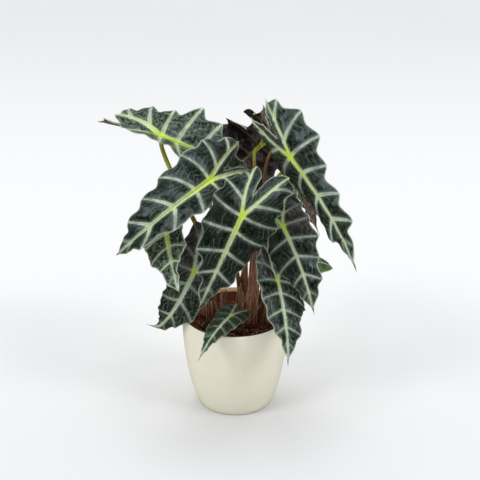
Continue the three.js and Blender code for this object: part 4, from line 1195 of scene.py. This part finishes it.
def makeCrumbs():
    # bark crumbs: small rough lumps half sunk in the surface
    shape, bodies, tones = soilCrumbs, [], []
    random = np.random.default_rng(shape["seed"])
    corners = np.array([(x, y, z) for x in (-1, 1) for y in (-1, 1) for z in (-1, 1)], float)
    sidesOf = [(0, 1, 3, 2), (4, 6, 7, 5), (0, 4, 5, 1), (2, 3, 7, 6), (0, 2, 6, 4), (1, 5, 7, 3)]
    for _ in range(shape["count"]):
        x, y = scattered(random, shape["inset"])
        length, width, height = (random.uniform(*shape[key]) for key in ("length", "width", "height"))
        size = length * np.array([1, width, height])
        turn = random.random() * 2 * math.pi
        lump = corners * size * random.uniform(*shape["corner"], (8, 3))
        lump = np.stack([lump[:, 0] * math.cos(turn) - lump[:, 1] * math.sin(turn),
                         lump[:, 0] * math.sin(turn) + lump[:, 1] * math.cos(turn),
                         lump[:, 2] + lump[:, 0] * random.uniform(-shape["lean"], shape["lean"])], 1)
        bodies.append((lump + (x, y, soilHeight(x, y) + size[2] * shape["raised"]), sidesOf))
        tones += [random.random()] * len(corners)
    piece = newPiece("soilCrumbs", *gathered(bodies), (peatCrumb,), "soil", {"tone": tones})
    soften = piece.modifiers.new("soften", "SUBSURF")
    soften.levels = soften.render_levels = 1


def makeSoilFibres():
    # short bent threads that lie on the soil; those that would touch the pot's wall are left out
    shape, bodies, tones = soilFibres, [], []
    random = np.random.default_rng(shape["seed"])
    for _ in range(shape["count"]):
        x, y = scattered(random, shape["inset"])
        length, bearing = random.uniform(*shape["length"]), random.random() * 2 * math.pi
        bend = random.uniform(-shape["bend"], shape["bend"])
        line = []
        for k in np.linspace(-0.5, 0.5, shape["rings"]):
            px = x + k * length * math.cos(bearing + bend * k)
            py = y + k * length * math.sin(bearing + bend * k)
            arch = random.uniform(0, shape["arch"]) * (0.5 - abs(k)) * 2
            line.append((px, py, soilHeight(px, py) + shape["raised"] + arch))
        line = np.array(line)
        if np.hypot(line[:, 0], line[:, 1]).max() >= growRadius(soilShape["top"]) - shape["edgeGap"]:
            continue
        body = tube(line, np.full(shape["rings"], random.uniform(*shape["radius"])), shape["sides"])[:2]
        bodies.append(body)
        tones += [random.uniform(*shape["tone"])] * len(body[0])
    newPiece("soilFibres", *gathered(bodies), (peatCrumb,), "soil", {"tone": tones})


# Dry sheaths: curved straps with lengthwise ridges and a torn top; widths are half widths at foot and top
sheaths = [
    {"name": "sheath_front_tall", "foot": [21, -6], "top": [26, -4, 227], "widths": [9, 5],
     "facing": -95, "curl": 11},
    {"name": "sheath_back_left", "foot": [2, 34], "top": [14, 26, 196], "widths": [8, 4],
     "facing": 130, "curl": 12},
    {"name": "sheath_right", "foot": [46, 2], "top": [45, 4, 168], "widths": [9, 3],
     "facing": -10, "curl": 12},
    {"name": "sheath_front_left", "foot": [4, 2], "top": [7, 6, 168], "widths": [9, 4],
     "facing": -125, "curl": 12},
    {"name": "sheath_far_left", "foot": [-43, 16], "top": [-46, 20, 152], "widths": [9, 6],
     "facing": 200, "curl": 11},
    {"name": "sheath_left", "foot": [-30, -3], "top": [-33, -2, 150], "widths": [10, 7],
     "facing": -100, "curl": 12},
    {"name": "sheath_mid_left", "foot": [-11, 12], "top": [-15, 13, 156], "widths": [9, 6],
     "facing": -50, "curl": 11},
]
sheathFinish = {"columns": 24, "rows": 60, "thickness": 0.7, "ridge": 0.45, "ridges": 9, "sink": 2.5,
                "shoulders": 0.12, "ragged": 0.05, "tear": 0.1, "slits": 3.5, "fibreLength": 50}


def makeSheathPiece(item, number):
    finish = sheathFinish
    rows, columns = finish["rows"], finish["columns"]
    grid = np.meshgrid(np.linspace(0, 1, rows + 1), np.linspace(-1, 1, columns + 1), indexing="ij")
    up, across = (part.ravel() for part in grid)
    foot, top, curl, bearing = item["foot"], item["top"], item["curl"], math.radians(item["facing"])
    slits = np.abs((across * finish["slits"] + number * 0.37) % 1 - 0.5) * 2
    torn = 1 - finish["shoulders"] * across ** 2 - finish["ragged"] * np.sin(5 * across + foot[0])
    rise = up * (torn - finish["tear"] * (1 - slits) ** 2)
    halfWidth = item["widths"][0] + (item["widths"][1] - item["widths"][0]) * rise
    angle = bearing + across * halfWidth / curl
    ridge = finish["ridge"] * np.cos(across * finish["ridges"] * math.pi / 2 + number)
    radius = curl + ridge * np.minimum(1, (1 - np.abs(across)) * 5)
    x = foot[0] + (top[0] - foot[0]) * rise + radius * np.cos(angle) - curl * math.cos(bearing)
    y = foot[1] + (top[1] - foot[1]) * rise + radius * np.sin(angle) - curl * math.sin(bearing)
    low = soilShape["top"] + y * math.tan(math.radians(growPot["tilt"])) - finish["sink"]
    sheet = np.stack([x, y, low + (top[2] - low) * rise], 1)
    half = np.full(len(sheet), finish["thickness"] / 2)
    both, faces, _ = solidSheet(sheet, gridFaces(rows + 1, columns + 1), half, half)
    fibreRise = np.tile(rise, 2) * (top[2] - soilShape["top"]) / finish["fibreLength"]
    values = {"across": np.tile(across, 2), "rise": fibreRise, "tone": np.full(len(both), number)}
    piece = newPiece(item["name"] + "_fine", both, faces, (drySheath,), "sheath", values)
    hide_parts(item["name"])


# The leaf that is still rolled up: slim at first, thickest near the top, then pointed
youngLeaf = {"foot": [34, 20], "top": [37, 12, 204], "radius": 2.6, "slim": 0.8, "slimUpTo": 0.55,
             "taperFrom": 0.8, "point": 0.12, "rings": 60, "sides": 20}


def makeRolledLeaf():
    leaf = youngLeaf
    line = smoothLine(uprightFoot(leaf["foot"]) + [leaf["top"]], leaf["rings"])
    rise = np.linspace(0, 1, len(line))
    pointed = 1 - np.maximum(0, (rise - leaf["taperFrom"]) / (1 - leaf["taperFrom"])) ** 2
    pointed = np.maximum(leaf["point"], pointed)
    radii = leaf["radius"] * np.where(rise < leaf["slimUpTo"], leaf["slim"], pointed)
    points, faces, rise = tube(line, radii, leaf["sides"])
    piece = newPiece("rolledLeafFine", points, faces, (rolledSkin,), "rolled_leaf", {"rise": rise})
    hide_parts("rolled_leaf")


makeLooseStrands()
makeCoverPot()
makeGrowPot()
makeSoilPiece()
makeCrumbs()
makeSoilFibres()
for number, item in enumerate(sheaths):
    makeSheathPiece(item, number)
makeRolledLeaf()
print("pots, soil and sheaths made")


# Studio: floor, light and camera; metres
studio = {"floorRadius": 12, "floorSides": 64, "distance": 1.4, "elevation": 23.17,
          "target": (0.00638, 0, 0.23377), "lens": 81.16, "sensor": 36}
worldLight = {"tint": (0.955, 0.97, 1.0), "strength": 1.1, "fromFront": 0.55, "backdrop": 0.86,
              "glossTint": (0.74, 0.86, 1.0), "betweenBoxes": 0.035}
# what glossy surfaces mirror: direction of each soft box, cosines at its outer and inner edge, strength
softBoxes = [
    {"towards": (-0.5, -0.62, 0.6), "edges": (0.93, 0.965), "strength": 3.4},
    {"towards": (0.55, -0.5, 0.67), "edges": (0.94, 0.97), "strength": 3.0},
    {"towards": (0.0, -0.25, 0.97), "edges": (0.94, 0.97), "strength": 2.2},
    {"towards": (0.1, 0.75, 0.65), "edges": (0.75, 0.95), "strength": 0.5},
]
# even light from one side each, spread in degrees
suns = {
    "lightLeft": {"towards": (-0.7, -0.5, 0.85), "strength": 0.85, "spread": 18},
    "lightRight": {"towards": (0.75, -0.45, 0.85), "strength": 0.72, "spread": 18},
    "lightTop": {"towards": (-0.1, 0.3, 1.0), "strength": 0.6, "spread": 24},
}


def makeFloorPiece():
    mesh = bpy.data.meshes.new("studioFloor")
    points = [(x, y, 0) for x, y in circle(studio["floorRadius"], studio["floorSides"])]
    mesh.from_pydata(points, [], [tuple(range(len(points)))])
    mesh.materials.append(makeFloor())
    floor = bpy.data.objects.new("studioFloor", mesh)
    bpy.context.scene.collection.objects.link(floor)
    floor.visible_glossy = False


def makeSun(name, towards, strength, spread):
    lamp = bpy.data.lights.new(name, "SUN")
    lamp.energy, lamp.angle = strength, math.radians(spread)
    light = bpy.data.objects.new(name, lamp)
    light.rotation_euler = Vector(towards).to_track_quat("Z", "Y").to_euler()
    light.visible_glossy = False
    bpy.context.scene.collection.objects.link(light)


def makeWorld():
    # even light for the surfaces' own colours; what glossy surfaces mirror is dark but for the soft boxes
    world = bpy.data.worlds.new("studioWorld")
    world.use_nodes = True
    tree = world.node_tree
    tree.nodes.clear()
    towards = place(tree, "ShaderNodeTexCoord").outputs["Generated"]
    fromBack = ease(tree, axesOf(tree, towards)[1], -0.75, 0.35, worldLight["fromFront"], 1.0)
    light = times(tree, fromBack, worldLight["strength"])
    mirrored = worldLight["betweenBoxes"]
    for box in softBoxes:
        axis = Vector(box["towards"]).normalized()
        facing = place(tree, "ShaderNodeVectorMath", {0: towards, 1: axis}, operation="DOT_PRODUCT")
        shine = ease(tree, facing.outputs["Value"], *box["edges"], 0.0, box["strength"])
        mirrored = plus(tree, mirrored, shine)
    ray = place(tree, "ShaderNodeLightPath").outputs
    light = between(tree, ray["Is Glossy Ray"], light, mirrored)
    strength = between(tree, ray["Is Camera Ray"], light, worldLight["backdrop"])
    tint = mixed(tree, ray["Is Glossy Ray"], (*worldLight["tint"], 1), (*worldLight["glossTint"], 1))
    background = place(tree, "ShaderNodeBackground", {"Color": tint, "Strength": strength})
    output = place(tree, "ShaderNodeOutputWorld")
    tree.links.new(background.outputs[0], output.inputs[0])
    bpy.context.scene.world = world


def makeCamera():
    camera = bpy.data.objects.new("camera", bpy.data.cameras.new("camera"))
    tilt = math.radians(studio["elevation"])
    back = Vector((0, -math.cos(tilt), math.sin(tilt)))
    camera.location = Vector(studio["target"]) + back * studio["distance"]
    camera.rotation_euler = (-back).to_track_quat("-Z", "Y").to_euler()
    camera.data.lens, camera.data.sensor_width = studio["lens"], studio["sensor"]
    bpy.context.scene.collection.objects.link(camera)
    bpy.context.scene.camera = camera


makeFloorPiece()
for name, sun in suns.items():
    makeSun(name, **sun)
makeWorld()
makeCamera()
view = bpy.context.scene.view_settings
view.view_transform, view.look, view.exposure, view.gamma = "Standard", "None", 0, 1
print("studio made")
